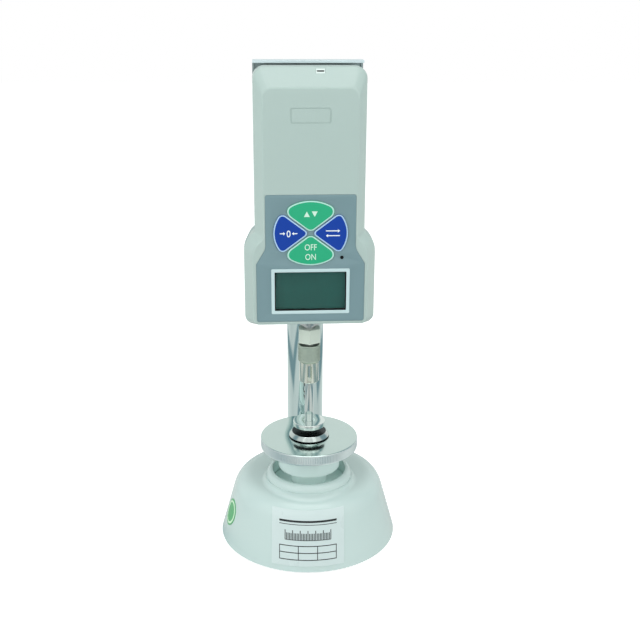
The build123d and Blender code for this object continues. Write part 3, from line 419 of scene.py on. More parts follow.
def softened(node: str, edge: float) -> bpy.types.Object:
    """Copy of a machined piece with its triangles merged into faces and its edges broken.

    Args:
        node: Name of the solid to copy.
        edge: Width of the broken edges in millimetres.

    Returns:
        The new object.
    """
    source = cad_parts[node].data
    points = np.empty(len(source.vertices) * 3)
    source.vertices.foreach_get("co", points)
    corners = np.empty(len(source.loops), int)
    source.loops.foreach_get("vertex_index", corners)
    thing = link_mesh(f"{node}_finished", points.reshape(-1, 3) / MM, corners.reshape(-1, 3), 35.0)
    flat = bmesh.new()
    flat.from_mesh(thing.data)
    same_plane = np.radians(0.6)
    bmesh.ops.dissolve_limit(
        flat, angle_limit=same_plane, verts=flat.verts, edges=flat.edges, delimit={"NORMAL"}
    )
    flat.to_mesh(thing.data)
    flat.free()
    bevel = thing.modifiers.new("broken_edges", "BEVEL")
    bevel.width = edge * MM
    bevel.segments = 2
    bevel.limit_method = "ANGLE"
    bevel.angle_limit = np.radians(40.0)
    bevel.use_clamp_overlap = True
    level = thing.modifiers.new("even_shading", "WEIGHTED_NORMAL")
    level.keep_sharp = True
    return thing


def join_up(
    name: str, things: Sequence[bpy.types.Object], smooth: float = 35.0, weld: bool = False
) -> bpy.types.Object:
    """One object made of several meshes that all lie in the row frame.

    Args:
        name: Name of the object.
        things: Objects that are joined and removed.
        smooth: Angle in degrees up to which edges are shaded soft.
        weld: Whether points that meet are merged.

    Returns:
        The new object.
    """
    joined = bmesh.new()
    for thing in things:
        joined.from_mesh(thing.data)
    mesh = bpy.data.meshes.new(name)
    joined.to_mesh(mesh)
    joined.free()
    for thing in things:
        bpy.data.objects.remove(thing)
    if weld:
        return finish_mesh(name, mesh, smooth)
    shade(mesh, smooth)
    return add_object(name, mesh)


# Shader groups


class Recipe:
    """Small helper that adds and joins nodes in one node tree."""

    def __init__(self, tree: bpy.types.NodeTree) -> None:
        """Keep the tree that nodes are added to."""
        self.tree = tree

    def add(self, kind: str, **values: object) -> bpy.types.Node:
        """Node of a kind with properties set.

        Args:
            kind: Blender's name of the node type.
            values: Properties of the node by name.

        Returns:
            The new node.
        """
        node = self.tree.nodes.new(kind)
        for key, value in values.items():
            setattr(node, key, value)
        return node

    def join(self, out: bpy.types.NodeSocket, into: bpy.types.NodeSocket) -> None:
        """Link an output to an input."""
        self.tree.links.new(out, into)

    def feed(self, value: object, into: bpy.types.NodeSocket) -> None:
        """Link an input where the value is a socket, and set it where it is a constant.

        Args:
            value: Output socket or constant.
            into: Input socket.
        """
        if isinstance(value, bpy.types.NodeSocket):
            self.join(value, into)
        else:
            into.default_value = value

    def maths(self, operation: str, first: object, second: object = 0.0) -> bpy.types.NodeSocket:
        """Result of a Math node.

        Args:
            operation: Blender's name of the operation.
            first: First input, a socket or a number.
            second: Second input, a socket or a number.

        Returns:
            The output socket.
        """
        node = self.add("ShaderNodeMath", operation=operation)
        self.feed(first, node.inputs[0])
        self.feed(second, node.inputs[1])
        return node.outputs[0]

    def blend(self, factor: object, first: object, second: object) -> bpy.types.NodeSocket:
        """Colour between two others.

        Args:
            factor: Share of the second colour.
            first: First colour, a socket or a constant.
            second: Second colour, a socket or a constant.

        Returns:
            The output socket.
        """
        node = self.add("ShaderNodeMix", data_type="RGBA")
        self.feed(factor, node.inputs["Factor"])
        self.feed(first, node.inputs["A"])
        self.feed(second, node.inputs["B"])
        return node.outputs["Result"]

    def choose(
        self, mask: bpy.types.NodeSocket, *shaders: bpy.types.NodeSocket
    ) -> bpy.types.NodeSocket:
        """First shader where a mask is nought, and the second where it is one.

        Args:
            mask: Socket that holds the mask.
            shaders: Sockets of the two shaders.

        Returns:
            The chosen shader's socket.
        """
        node = self.add("ShaderNodeMixShader")
        for out, into in zip((mask, *shaders), node.inputs):
            self.join(out, into)
        return node.outputs[0]

    def axes(self, place: bpy.types.NodeSocket) -> bpy.types.NodeOutputs:
        """Parts of a place.

        Args:
            place: Socket that holds the place.

        Returns:
            Sockets named X, Y and Z.
        """
        node = self.add("ShaderNodeSeparateXYZ")
        self.join(place, node.inputs[0])
        return node.outputs

    def reach(self, axes: bpy.types.NodeOutputs) -> bpy.types.NodeSocket:
        """Distance to the Z axis, the root of x squared plus y squared.

        Args:
            axes: Sockets of the place by name.

        Returns:
            The output socket.
        """
        across = self.maths("POWER", axes["X"], 2.0)
        along = self.maths("POWER", axes["Y"], 2.0)
        return self.maths("SQRT", self.maths("ADD", across, along))


VECTOR, NUMBER, COLOUR = "NodeSocketVector", "NodeSocketFloat", "NodeSocketColor"


class GroupRecipe(Recipe):
    """Recipe of a shader group with named inputs and outputs."""

    def __init__(
        self,
        name: str,
        inputs: dict[str, tuple[str, object]],
        outputs: dict[str, str],
    ) -> None:
        """Make the group, which takes a Place besides its other inputs.

        Args:
            name: Name of the group.
            inputs: Socket type and default value by input name.
            outputs: Socket type by output name.
        """
        super().__init__(bpy.data.node_groups.new(name, "ShaderNodeTree"))
        sockets = self.tree.interface
        sockets.new_socket("Place", in_out="INPUT", socket_type=VECTOR)
        for label, (kind, value) in inputs.items():
            socket = sockets.new_socket(label, in_out="INPUT", socket_type=kind)
            socket.default_value = value
        for label, kind in outputs.items():
            sockets.new_socket(label, in_out="OUTPUT", socket_type=kind)
        self.source = self.add("NodeGroupInput").outputs
        self.sink = self.add("NodeGroupOutput").inputs

    def noise(
        self, place: bpy.types.NodeSocket, detail: float, rough: float = 0.5
    ) -> bpy.types.NodeSocket:
        """Noise at a place, on the group's Scale.

        Args:
            place: Socket that holds the place.
            detail: Octaves of the noise.
            rough: Weight of the finer octaves.

        Returns:
            The output socket.
        """
        node = self.add("ShaderNodeTexNoise")
        node.inputs["Detail"].default_value = detail
        node.inputs["Roughness"].default_value = rough
        self.join(place, node.inputs["Vector"])
        self.join(self.source["Scale"], node.inputs["Scale"])
        return node.outputs["Fac"]


def grain_group() -> bpy.types.NodeTree:
    """Group that gives the fine height of a moulded or painted skin.

    Returns:
        The group.
    """
    tool = GroupRecipe("fine_grain", {"Scale": (NUMBER, 900.0)}, {"Height": NUMBER})
    tool.join(tool.noise(tool.source["Place"], 3.0), tool.sink["Height"])
    return tool.tree


def handling_group() -> bpy.types.NodeTree:
    """Group that varies roughness between two values, as wiping and handling leave it.

    Returns:
        The group.
    """
    tool = GroupRecipe(
        "handling",
        {"Scale": (NUMBER, 40.0), "Low": (NUMBER, 0.3), "High": (NUMBER, 0.4)},
        {"Roughness": NUMBER},
    )
    spread = tool.add("ShaderNodeMapRange")
    spread.inputs["From Min"].default_value = 0.3
    spread.inputs["From Max"].default_value = 0.7
    tool.join(tool.noise(tool.source["Place"], 4.0, 0.6), spread.inputs["Value"])
    tool.join(tool.source["Low"], spread.inputs["To Min"])
    tool.join(tool.source["High"], spread.inputs["To Max"])
    tool.join(spread.outputs[0], tool.sink["Roughness"])
    return tool.tree


def tint_group() -> bpy.types.NodeTree:
    """Group that drifts slowly between a colour and a shade of it.

    Returns:
        The group.
    """
    tool = GroupRecipe(
        "slow_tint",
        {
            "Scale": (NUMBER, 15.0),
            "Colour": (COLOUR, (0.5, 0.5, 0.5, 1.0)),
            "Shade": (COLOUR, (0.45, 0.45, 0.45, 1.0)),
        },
        {"Colour": COLOUR},
    )
    drift = tool.noise(tool.source["Place"], 2.0)
    tool.join(tool.blend(drift, tool.source["Colour"], tool.source["Shade"]), tool.sink["Colour"])
    return tool.tree


def lines_group() -> bpy.types.NodeTree:
    """Group that gives the height of fine lines left by turning or brushing.

    Round gives lines that circle the Z axis, worked out from the distance to it and the height.
    Upright gives lines along Z, worked out from noise squeezed along Z.

    Returns:
        The group.
    """
    outputs = {"Round": NUMBER, "Upright": NUMBER}
    tool = GroupRecipe("tool_lines", {"Scale": (NUMBER, 3000.0)}, outputs)
    squeeze = 0.01
    axes = tool.axes(tool.source["Place"])
    ring = tool.add("ShaderNodeCombineXYZ")
    tool.join(tool.reach(axes), ring.inputs["X"])
    tool.join(axes["Z"], ring.inputs["Z"])
    flat = tool.add("ShaderNodeCombineXYZ")
    tool.join(axes["X"], flat.inputs["X"])
    tool.join(axes["Y"], flat.inputs["Y"])
    tool.join(tool.maths("MULTIPLY", axes["Z"], squeeze), flat.inputs["Z"])
    tool.join(tool.noise(ring.outputs[0], 2.0), tool.sink["Round"])
    tool.join(tool.noise(flat.outputs[0], 2.0), tool.sink["Upright"])
    return tool.tree


def room_group() -> bpy.types.NodeTree:
    """Group that gives the grey tones of a plain room, seen only in reflections.

    The tone is read from the direction round the object, a share of a turn. On each side a darker
    strip widens with distance: its half width is Spread times the distance past Start. Past Split a
    pale strip opens inside it. In front a dark strip narrows with distance and ends at Front.

    Returns:
        The group.
    """
    left, right, front, soft = 0.262, 0.728, 0.03, 0.018
    right_wider, right_paler = 0.018, 0.015
    inner_spread, front_spread, far = 1.2, 1.3, 0.43
    tint = (0.95, 1.0, 0.98)
    levels = [(0.0, 0.60), (0.035, 0.50), (0.065, 0.50), (0.10, 0.75), (0.30, 0.65), (0.42, 0.80)]
    levels += [(0.58, 0.80), (0.70, 0.62), (0.87, 0.70), (0.92, 0.84), (0.95, 0.42), (1.0, 0.55)]
    tool = GroupRecipe(
        "room_tones",
        {
            "Start": (NUMBER, 0.19),
            "Spread": (NUMBER, 1.0),
            "Split": (NUMBER, 0.28),
            "Front": (NUMBER, 0.245),
            "Dark": (COLOUR, (0.22, 0.32, 0.35, 1.0)),
        },
        {"Colour": COLOUR},
    )
    source = tool.source
    axes = tool.axes(source["Place"])
    turn = tool.maths("ARCTAN2", axes["X"], axes["Y"])
    share = tool.maths("ADD", tool.maths("DIVIDE", turn, TURN), 0.5)
    reach = tool.maths("MINIMUM", tool.reach(axes), far)
    past = tool.maths("SUBTRACT", reach, source["Start"])
    wide = tool.maths("MULTIPLY", past, source["Spread"])
    past = tool.maths("SUBTRACT", reach, source["Split"])
    inner = tool.maths("MULTIPLY", past, inner_spread)
    right_wide = tool.maths("ADD", wide, right_wider)
    right_inner = tool.maths("SUBTRACT", inner, right_paler)
    short = tool.maths("SUBTRACT", source["Front"], reach)
    ahead = tool.maths("MULTIPLY", short, front_spread)
    strips = [(left, wide), (right, right_wide), (left, inner), (right, right_inner), (front, ahead)]
    masks = []
    for middle, width in strips:
        off = tool.maths("ABSOLUTE", tool.maths("SUBTRACT", share, middle))
        mask = tool.add("ShaderNodeMapRange")
        tool.join(tool.maths("SUBTRACT", width, off), mask.inputs["Value"])
        mask.inputs["From Min"].default_value = -soft
        mask.inputs["From Max"].default_value = soft
        masks.append(mask.outputs[0])
    sides = tool.maths("SUBTRACT", tool.maths("MAXIMUM", masks[0], masks[1]), masks[2])
    dark = tool.maths("MAXIMUM", tool.maths("SUBTRACT", sides, masks[3]), masks[4])
    ramp = tool.add("ShaderNodeValToRGB")
    marks = ramp.color_ramp.elements
    for number, (where, level) in enumerate(levels):
        mark = marks[number] if number < 2 else marks.new(where)
        mark.position = where
        mark.color = (*(level * part for part in tint), 1.0)
    tool.join(share, ramp.inputs["Fac"])
    tone = tool.blend(dark, ramp.outputs["Color"], source["Dark"])
    tool.join(tone, tool.sink["Colour"])
    return tool.tree


def bore_group() -> bpy.types.NodeTree:
    """Group that tells the inside of an upright bore from the rest.

    Inside is one where the distance to the Z axis is below Reach and the height is below Top.

    Returns:
        The group.
    """
    tool = GroupRecipe(
        "upright_bore",
        {"Reach": (NUMBER, 0.025), "Top": (NUMBER, 0.052)},
        {"Inside": NUMBER},
    )
    axes = tool.axes(tool.source["Place"])
    near = tool.maths("LESS_THAN", tool.reach(axes), tool.source["Reach"])
    below = tool.maths("LESS_THAN", axes["Z"], tool.source["Top"])
    tool.join(tool.maths("MULTIPLY", near, below), tool.sink["Inside"])
    return tool.tree


GRAIN, HANDLING, TINT = grain_group(), handling_group(), tint_group()
LINES, ROOM, BORE = lines_group(), room_group(), bore_group()


class Sheet(Recipe):
    """Node tree of one material, with its Principled shader and shared groups."""

    def __init__(self, name: str) -> None:
        """Start a material with a bare Principled shader.

        Args:
            name: Name of the material.
        """
        self.material = bpy.data.materials.new(name)
        self.material.use_nodes = True
        super().__init__(self.material.node_tree)
        self.shader = self.tree.nodes["Principled BSDF"]
        self.place = self.add("ShaderNodeTexCoord").outputs["Object"]

    def group(self, tree: bpy.types.NodeTree, **values: object) -> bpy.types.NodeOutputs:
        """Shared group on this material's place, with its inputs set by name.

        Args:
            tree: The shared group.
            values: Constants by input name.

        Returns:
            Output sockets of the group by name.
        """
        node = self.add("ShaderNodeGroup", node_tree=tree)
        self.join(self.place, node.inputs["Place"])
        for key, value in values.items():
            node.inputs[key].default_value = value
        return node.outputs

    def centred(self, x: float, y: float) -> None:
        """Move the axis of the material's patterns.

        Args:
            x: Place of the axis across in millimetres.
            y: Depth of the axis in millimetres.
        """
        shift = self.add("ShaderNodeMapping")
        shift.inputs["Location"].default_value = (-x * MM, -y * MM, 0.0)
        self.join(self.place, shift.inputs["Vector"])
        self.place = shift.outputs["Vector"]

    def surface(self, colour: bpy.types.NodeSocket, rough: bpy.types.NodeSocket) -> None:
        """Give the shader its base colour and roughness."""
        self.join(colour, self.shader.inputs["Base Color"])
        self.join(rough, self.shader.inputs["Roughness"])

    def bump(self, height: bpy.types.NodeSocket, strength: float, depth: float) -> None:
        """Feed a height to the shader's normal.

        Args:
            height: Socket that holds the height.
            strength: Strength of the effect.
            depth: Depth of the relief in millimetres.
        """
        node = self.add("ShaderNodeBump")
        node.inputs["Strength"].default_value = strength
        node.inputs["Distance"].default_value = depth * MM
        self.join(height, node.inputs["Height"])
        self.join(node.outputs["Normal"], self.shader.inputs["Normal"])


# Finishes


def opaque(colour: Colour) -> tuple[float, float, float, float]:
    """Colour with full opacity."""
    return (*colour, 1.0)


@dataclass(frozen=True)
class Skin:
    """Painted, moulded or printed surface with a fine grain.

    Attributes:
        name: Name of the material.
        colour: Main colour, linear.
        drift: Brightness of the slow shade, as a share of the colour.
        low: Lowest roughness.
        high: Highest roughness.
        grain_scale: Scale of the fine grain.
        grain_depth: Depth of the fine grain in millimetres.
        coat: Weight of a clear coat.
        shine: Specular level, where 0.5 is that of plain plastic.
    """

    name: str
    colour: Colour
    drift: float = 0.95
    low: float = 0.35
    high: float = 0.45
    grain_scale: float = 1500.0
    grain_depth: float = 0.02
    coat: float = 0.0
    shine: float = 0.5

    def tint(self, sheet: Sheet) -> bpy.types.NodeSocket:
        """Colour of the surface.

        Args:
            sheet: Nodes of the material.

        Returns:
            Socket that holds the colour.
        """
        shade_of = tuple(part * self.drift for part in self.colour)
        drift = {"Colour": opaque(self.colour), "Shade": opaque(shade_of)}
        return sheet.group(TINT, Scale=18.0, **drift)["Colour"]

    def material(self) -> bpy.types.Material:
        """Build the material.

        Returns:
            The new material.
        """
        sheet = Sheet(self.name)
        wear = sheet.group(HANDLING, Scale=45.0, Low=self.low, High=self.high)
        grain = sheet.group(GRAIN, Scale=self.grain_scale)
        sheet.surface(self.tint(sheet), wear["Roughness"])
        sheet.shader.inputs["Coat Weight"].default_value = self.coat
        sheet.shader.inputs["Coat Roughness"].default_value = 0.06
        sheet.shader.inputs["Specular IOR Level"].default_value = self.shine
        sheet.bump(grain["Height"], 0.5, self.grain_depth)
        return sheet.material


@dataclass(frozen=True)
class EnamelWithLitBore(Skin):
    """Paint of the casting, with painted light in the collar's bore: paler there so it looks lit.

    Attributes:
        inner: Painted light inside the bore, a paler colour, linear.
        bore_r: Radius of the bore that gets the painted light, in millimetres.
        bore_top: Height where the painted light ends in millimetres.
    """

    inner: Colour = (0.82, 0.98, 0.945)
    bore_r: float = 25.1
    bore_top: float = 52.7

    def tint(self, sheet: Sheet) -> bpy.types.NodeSocket:
        """Colour of the surface, with painted light in the bore.

        Args:
            sheet: Nodes of the material.

        Returns:
            Socket that holds the colour.
        """
        outer = super().tint(sheet)
        sheet.centred(0.0, STAGE_Y)
        bore = sheet.group(BORE, Reach=self.bore_r * MM, Top=self.bore_top * MM)
        return sheet.blend(bore["Inside"], outer, opaque(self.inner))


@dataclass(frozen=True)
class Metal:
    """Bare or plated metal with fine tool lines.

    Attributes:
        name: Name of the material.
        colour: Reflected colour, linear.
        low: Lowest roughness.
        high: Highest roughness.
        flow: How the tool lines run.
        centre: Place of the axis that turned lines circle, x and y in millimetres.
        line_depth: Depth of the lines in millimetres.
    """

    name: str
    colour: Colour
    low: float = 0.05
    high: float = 0.12
    flow: Flow = Flow.POLISHED
    centre: tuple[float, float] = (0.0, STAGE_Y)
    line_depth: float = 0.002

    def material(self) -> bpy.types.Material:
        """Build the material.

        Returns:
            The new material.
        """
        sheet = Sheet(self.name)
        sheet.centred(*self.centre)
        shade_of = tuple(part * 0.93 for part in self.colour)
        drift = {"Colour": opaque(self.colour), "Shade": opaque(shade_of)}
        tint = sheet.group(TINT, Scale=60.0, **drift)
        wear = sheet.group(HANDLING, Scale=70.0, Low=self.low, High=self.high)
        sheet.surface(tint["Colour"], wear["Roughness"])
        sheet.shader.inputs["Metallic"].default_value = 1.0
        if self.flow is not Flow.POLISHED:
            lines = sheet.group(LINES, Scale=3500.0)
            label = "Round" if self.flow is Flow.TURNED else "Upright"
            sheet.bump(lines[label], 0.35, self.line_depth)
        return sheet.material


@dataclass(frozen=True)
class Clear:
    """Clear plastic window, with a low index of refraction so that little is mirrored."""

    name: str = "clear_window_sheet"
    colour: Colour = (0.93, 0.98, 0.96)
    refraction: float = 1.2

    def material(self) -> bpy.types.Material:
        """Build the material.

        Returns:
            The new material.
        """
        sheet = Sheet(self.name)
        wear = sheet.group(HANDLING, Scale=80.0, Low=0.02, High=0.06)
        sheet.join(wear["Roughness"], sheet.shader.inputs["Roughness"])
        sheet.shader.inputs["Base Color"].default_value = opaque(self.colour)
        sheet.shader.inputs["Transmission Weight"].default_value = 1.0
        sheet.shader.inputs["IOR"].default_value = self.refraction
        return sheet.material


Finish = Union[Skin, Metal, Clear]
STAGE_AXIS = (0.0, STAGE_Y)
COLUMN_AXIS = (0.0, COLUMN_Y)
# Pale colour that paints light into the shaded bore under the wheel and onto the lift screw and nut
PAINTED_LIGHT_PALE = (0.82, 0.98, 0.945)

# The casting's enamel, with painted light in the collar's bore
CASTING_ENAMEL = EnamelWithLitBore(
    "casting_enamel", (0.540, 0.665, 0.645), 0.98, 0.24, 0.27, 700.0, 0.02, 0.4, inner=PAINTED_LIGHT_PALE
)
GAUGE_MOULDING = Skin("gauge_moulding", (0.430, 0.540, 0.510), 0.97, 0.36, 0.46, 2200.0, 0.03, 0.4)
PANEL_FILM = Skin("panel_film", (0.189, 0.296, 0.325), 0.94, 0.32, 0.42, 2600.0, 0.012)
KEY_GREEN = Skin(
    "key_green_silicone", (0.028, 0.42, 0.215), 0.92, 0.4, 0.5, 2000.0, 0.01, 0.0, 0.2
)
KEY_BLUE = Skin("key_blue_silicone", (0.007, 0.052, 0.36), 0.92, 0.4, 0.5, 2000.0, 0.01, 0.0, 0.2)
BORDER_GREEN = Skin("key_border_on_green", (0.47, 0.76, 0.69), 0.95, 0.38, 0.48, 2000.0, 0.01)
BORDER_BLUE = Skin("key_border_on_blue", (0.42, 0.62, 0.83), 0.95, 0.38, 0.48, 2000.0, 0.01)
LEGEND_WHITE = Skin("legend_white", (0.86, 0.92, 0.93), 0.97, 0.4, 0.5, 2000.0, 0.005)
LEGEND_SOFT = Skin("legend_soft", (0.62, 0.85, 0.72), 0.97, 0.4, 0.5, 2000.0, 0.005)
PORT_WHITE = Skin("port_white", (0.70, 0.80, 0.77), 0.98, 0.3, 0.4, 1500.0, 0.01)
TRIM_PALE = Skin("trim_pale", (0.555, 0.715, 0.735), 0.97, 0.16, 0.24, 1500.0, 0.01, 0.4)
LCD_FACE = Skin("lcd_face", (0.036, 0.118, 0.106), 0.88, 0.30, 0.36, 2500.0, 0.002, 0.0, 0.08)
# Dark plastic of the light and the port's tongue, also used as painted shade in the display well
DARK_LENS_AND_SHADE = Skin("dark_lens_and_painted_shade", (0.008, 0.009, 0.010), 0.9, 0.3, 0.4, 1500.0, 0.004, 0.0, 0.1)
RUBBER = Skin("rubber_black", (0.02, 0.02, 0.02), 0.8, 0.6, 0.75, 1200.0, 0.06)
LABEL_FILM = Skin("label_film", (0.59, 0.69, 0.685), 0.98, 0.25, 0.33, 1500.0, 0.006)
LABEL_PRINT = Skin("label_print", (0.018, 0.022, 0.024), 0.9, 0.4, 0.5, 1500.0, 0.004)
STICKER_GREEN = Skin("sticker_green", (0.10, 0.42, 0.17), 0.92, 0.3, 0.4, 1800.0, 0.006)
STICKER_RING = Skin("sticker_ring", (0.60, 0.85, 0.60), 0.95, 0.3, 0.4, 1800.0, 0.006)
BOARD_GREEN = Skin("board_green", (0.02, 0.16, 0.05), 0.8, 0.3, 0.4, 1500.0, 0.01)
SWITCH_BLACK = Skin("switch_black", (0.02, 0.02, 0.022), 0.8, 0.35, 0.5, 1500.0, 0.01)
CELL_WRAP = Skin("cell_wrap", (0.04, 0.20, 0.09), 0.85, 0.25, 0.35, 1500.0, 0.01)
# Near-black finish used as painted shade in the gap under the tray's roof
TRAY_GAP_SHADE = Skin("tray_gap_painted_shade", (0.03, 0.035, 0.04), 0.9, 0.5, 0.6)
# Paler finish for the tray's top faces, painted light from above
TRAY_TOP_LIGHT = Skin("tray_top_painted_light", (0.66, 0.765, 0.80), 0.97, 0.35, 0.45, 1300.0, 0.02)
NUT_PLATING = Skin("nut_plating", (0.60, 0.68, 0.60), 0.95, 0.16, 0.24, 1500.0, 0.006, 0.8)
# Painted light: the lift screw and nut are pale so that the shaded gap under the wheel looks lit
NUT_PAINTED_LIGHT = Skin("nut_painted_light", PAINTED_LIGHT_PALE, 0.97, 0.4, 0.5)
NECK_SATIN = Skin("neck_satin", (0.61, 0.755, 0.73), 0.96, 0.3, 0.36, 1500.0, 0.006)

TRAY_ZINC = Metal("tray_zinc", (0.42, 0.49, 0.50), 0.30, 0.45, Flow.UPRIGHT, COLUMN_AXIS, 0.02)
CHROME = Metal("chrome_plate", (0.75, 0.82, 0.80), 0.08, 0.13)
FOOT_CHROME = Metal("foot_chrome", (0.90, 0.97, 0.94), 0.07, 0.12)
COLUMN_CHROME = Metal("column_chrome", (0.70, 0.83, 0.82), 0.04, 0.08)
DISC_CHROME = Metal("disc_chrome", (0.705, 0.835, 0.80), 0.11, 0.16)
COLLET_CHROME = Metal("collet_chrome", (0.86, 0.89, 0.79), 0.10, 0.16)
RIM_STEEL = Metal("rim_steel", (0.92, 1.0, 1.0), 0.34, 0.42)
SLEEVE_STEEL = Metal("sleeve_steel", (0.66, 0.75, 0.64), 0.38, 0.5, Flow.TURNED, STAGE_AXIS, 0.006)
TURNED_STEEL = Metal("turned_steel", (0.62, 0.64, 0.64), 0.16, 0.28, Flow.TURNED)
# Near-black steel used only as painted shade: anvil face and undercut, foot underside, nut's bottom
# band
PAINTED_SHADE_STEEL = Metal("painted_shade_steel", (0.045, 0.05, 0.052), 0.22, 0.32, Flow.TURNED)
SCREW_STEEL = Metal("screw_steel", (0.55, 0.57, 0.58), 0.18, 0.32)
DARK_STEEL = Metal("dark_steel", (0.09, 0.095, 0.10), 0.35, 0.5)
CAST_ALUMINIUM = Metal(
    "milled_aluminium", (0.62, 0.65, 0.66), 0.26, 0.38, Flow.UPRIGHT, COLUMN_AXIS, 0.004
)

MATERIALS: dict[str, bpy.types.Material] = {}


def material_of(finish: Finish) -> bpy.types.Material:
    """Material of a finish, built the first time.

    Args:
        finish: Finish that is asked for.

    Returns:
        Its material.
    """
    if finish.name not in MATERIALS:
        MATERIALS[finish.name] = finish.material()
    return MATERIALS[finish.name]


def dress_nodes(finish: Finish, *nodes: str) -> None:
    """Give solids of the frame a finish, in all their material slots.

    Args:
        finish: Finish that dresses them.
        nodes: Names of the solids.
    """
    for node in nodes:
        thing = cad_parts[node]
        if not thing.material_slots:
            thing.data.materials.append(None)
        for slot in thing.material_slots:
            slot.material = material_of(finish)
        LOG.info("dressed %s", node)


def between(low: float, high: float) -> FaceRule:
    """Rule that chooses faces whose middles lie between two heights in millimetres."""
    return lambda at: (at[:, 2] > low) & (at[:, 2] < high)


def paint(thing: bpy.types.Object, finish: Finish, chosen: FaceRule) -> None:
    """Give some faces of a piece a second finish.

    Args:
        thing: Piece that already has its main finish.
        finish: Finish for the chosen faces.
        chosen: Function of the faces' middles in millimetres that says which are chosen.
    """
    mesh = thing.data
    mesh.materials.append(material_of(finish))
    middles = np.empty(len(mesh.polygons) * 3)
    mesh.polygons.foreach_get("center", middles)
    slots = np.empty(len(mesh.polygons), np.int32)
    mesh.polygons.foreach_get("material_index", slots)
    slots[chosen(middles.reshape(-1, 3) / MM)] = len(mesh.materials) - 1
    mesh.polygons.foreach_set("material_index", slots)


def place(
    thing: bpy.types.Object, finish: Finish, body: Body, slot: str, *nodes: str
) -> bpy.types.Object:
    """Dress a piece, make it ride on its body and let it stand for its solids.

    Args:
        thing: The new piece.
        finish: Finish that dresses it.
        body: Body that it moves with.
        slot: Slot of the record that its finish belongs to; not used.
        nodes: Solids that it stands for.

    Returns:
        The same piece.
    """
    thing.data.materials.clear()
    thing.data.materials.append(material_of(finish))
    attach(thing, body.value)
    if nodes:
        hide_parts(*nodes)
    LOG.info("built %s on %s", thing.name, body.value)
    return thing


# Sub-assemblies


